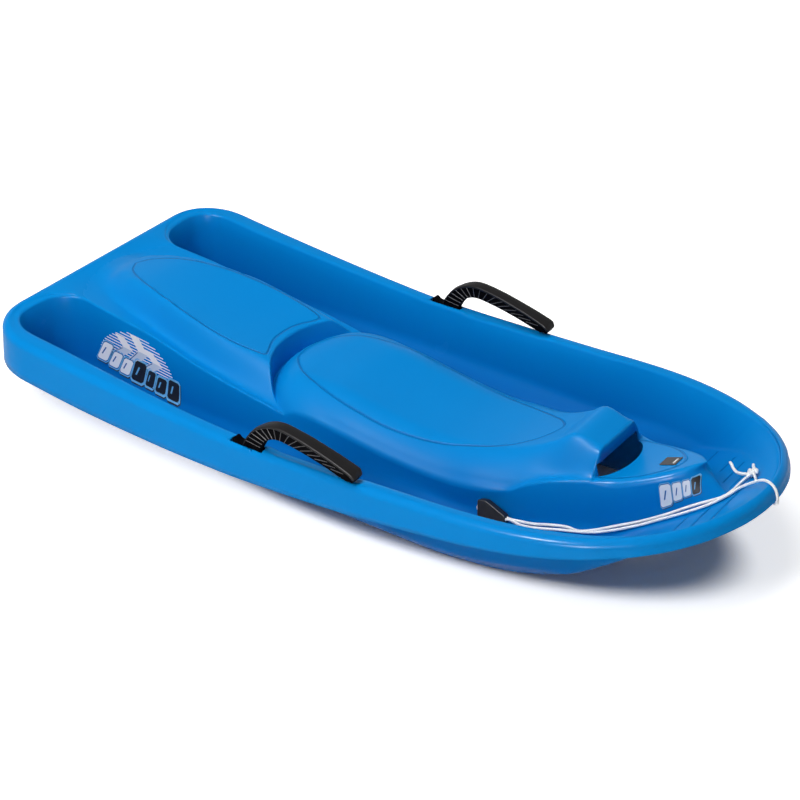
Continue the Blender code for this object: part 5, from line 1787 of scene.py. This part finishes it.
def sticker(name, corners, start, shapes, tree):
    """Ink shapes laid on the hull's right-hand wall, which a line across the sled meets."""
    mesh = bmesh.new()
    first, second, third, fourth = [Vector((x, 0.0, z)) for x, z in corners]

    def on_wall(u, v, lift):
        place = first.lerp(second, u).lerp(fourth.lerp(third, u), v)
        hit, normal, _, _ = tree.ray_cast(Vector((place.x, start, place.z)), Vector((0.0, 1.0, 0.0)))
        return hit + normal * lift

    for (a, b, c, d), layer, ink in shapes:
        across = max(3, int(abs(b[0] - a[0]) * ink_cells[0]))
        tall = max(1, int(abs(d[1] - a[1]) * ink_cells[1]))
        grid = []
        for j in range(tall + 1):
            spots = [[mix(mix(a[axis], b[axis], i / across), mix(d[axis], c[axis], i / across), j / tall)
                      for axis in (0, 1)] for i in range(across + 1)]
            grid.append([mesh.verts.new(on_wall(u, v, ink_lift + layer * ink_step)) for u, v in spots])
        for low, high in zip(grid, grid[1:]):
            for i in range(across):
                face = mesh.faces.new((low[i], low[i + 1], high[i + 1], high[i]))
                face.material_index = ink
    for face in mesh.faces:
        face.normal_update()
        if face.normal.y > 0.0:
            face.normal_flip()
    return new_piece(name, mesh, inks)


inks = [plain_plastic(ink_name, ink_colour, [part * ink_worn_share for part in ink_colour], ink_roughness)
        for ink_name, ink_colour in ink_colours]
hull_tree = BVHTree.FromPolygons([vert.co.copy() for vert in hull.data.vertices],
                                 [tuple(face.vertices) for face in hull.data.polygons])
for print_name, print_corners, print_start, print_shapes in (
        ("rear_sticker", rear_print_corners, rear_print_start, rear_print_shapes()),
        ("nose_sticker", nose_print_corners, nose_print_start, nose_print_shapes())):
    printed = sticker(print_name, print_corners, print_start, print_shapes, hull_tree)
    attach(printed, "body")

# Stage: plain white paper on the floor of a white studio, two soft lamps that light the sled and
# two small ones that only mirror in it. Each lamp: name, place, size, watts, and whether it is soft.
paper_size = 12.0
paper_drop = 0.0004
paper_colour = (0.84, 0.84, 0.84)
paper_roughness = 0.9
paper_specular = 0.1
paper_grain_size = 0.002
paper_wave_size = 0.2
paper_relief = 0.0001
paper_relief_strength = 0.3
paper_glow = 0.64
# Painted shade: the patch under and round the sled where the paper's glow fades out.
paper_painted_shade_size = (0.52, 0.20, 1.0)
paper_glow_run = 1.15
plain_white = (1.0, 1.0, 1.0)
sky_level = 0.30
sky_share = 0.60
sky_edge_low = 0.10
sky_edge_high = 0.45
lamp_table = (("key_lamp", (-0.3, -2.4, 2.5), 1.2, 54.0, True),
              ("top_lamp", (-0.4, -0.3, 3.0), 2.0, 46.0, True),
              ("rim_glint", (-0.06, -2.15, 2.40), 0.26, 170.0, False),
              ("flank_glint", (0.80, -1.53, 0.50), 0.36, 34.0, False))


def paper_material():
    """Matt white paper that the camera sees a little brighter than its light makes it, but for painted shade
    under and round the sled, where that glow fades out.
    """
    material, tree, shader = new_material("studio_paper", paper_colour, paper_roughness,
                                          specular=paper_specular)
    path, place = [tree.nodes.new(kind) for kind in ("ShaderNodeLightPath", "ShaderNodeTexCoord")]
    shrunk = add_node(tree, "ShaderNodeVectorMath",
                      {0: place.outputs["Object"], 1: paper_painted_shade_size}, operation="DIVIDE")
    spread = add_node(tree, "ShaderNodeVectorMath", {0: shrunk.outputs["Vector"]}, operation="LENGTH")
    # Painted shade: the camera glow fades out towards the sled.
    clear = add_range(tree, spread.outputs["Value"], 0.0, paper_glow, 1.0, paper_glow_run, "SMOOTHSTEP")
    glow = add_math(tree, "MULTIPLY", path.outputs["Is Camera Ray"], clear)
    feed(tree, shader, {"Emission Color": plain_white, "Emission Strength": glow})
    grain = add_group(tree, moulded_grain, Grain_Size=paper_grain_size, Wave_Size=paper_wave_size)
    add_bump(tree, shader, grain.outputs["Height"], paper_relief, paper_relief_strength)
    return material


def white_sky():
    """Studio round the sled: white near the horizon, a darker ceiling, all white to the camera."""
    world = bpy.data.worlds.new("studio")
    world.use_nodes = True
    tree = world.node_tree
    way = tree.nodes.new("ShaderNodeTexCoord")
    split = add_node(tree, "ShaderNodeSeparateXYZ", {0: way.outputs["Generated"]})
    level = add_range(tree, split.outputs["Z"], 1.0, sky_level, sky_edge_low, sky_edge_high, "SMOOTHSTEP")
    path = tree.nodes.new("ShaderNodeLightPath")
    seen = add_math(tree, "MAXIMUM", path.outputs["Is Camera Ray"], path.outputs["Is Transmission Ray"])
    mirrored = add_math(tree, "MULTIPLY", level, path.outputs["Is Glossy Ray"])
    lit = add_math(tree, "MULTIPLY", level, sky_share)
    strongest = add_math(tree, "MAXIMUM", add_math(tree, "MAXIMUM", mirrored, lit), seen)
    feed(tree, tree.nodes["Background"], {"Color": plain_white, "Strength": strongest})
    return world


floor_mesh = bmesh.new()
bmesh.ops.create_grid(floor_mesh, x_segments=2, y_segments=2, size=paper_size)
bmesh.ops.translate(floor_mesh, vec=(0.0, 0.0, -paper_drop), verts=floor_mesh.verts)
studio_floor = new_piece("studio_floor", floor_mesh, [paper_material()], smooth=False)
bpy.context.scene.world = white_sky()
for lamp_name, lamp_place, lamp_size, lamp_power, lamp_soft in lamp_table:
    lamp_data = bpy.data.lights.new(lamp_name, "AREA")
    lamp_data.shape = "DISK"
    lamp_data.size = lamp_size
    lamp_data.energy = lamp_power
    lamp = bpy.data.objects.new(lamp_name, lamp_data)
    lamp.location = lamp_place
    lamp.rotation_euler = (-Vector(lamp_place)).to_track_quat("-Z", "Y").to_euler()
    lamp.visible_glossy = not lamp_soft
    lamp.visible_diffuse = lamp_soft
    lamp.visible_camera = False
    bpy.context.scene.collection.objects.link(lamp)
bpy.context.scene.view_settings.view_transform = "Standard"
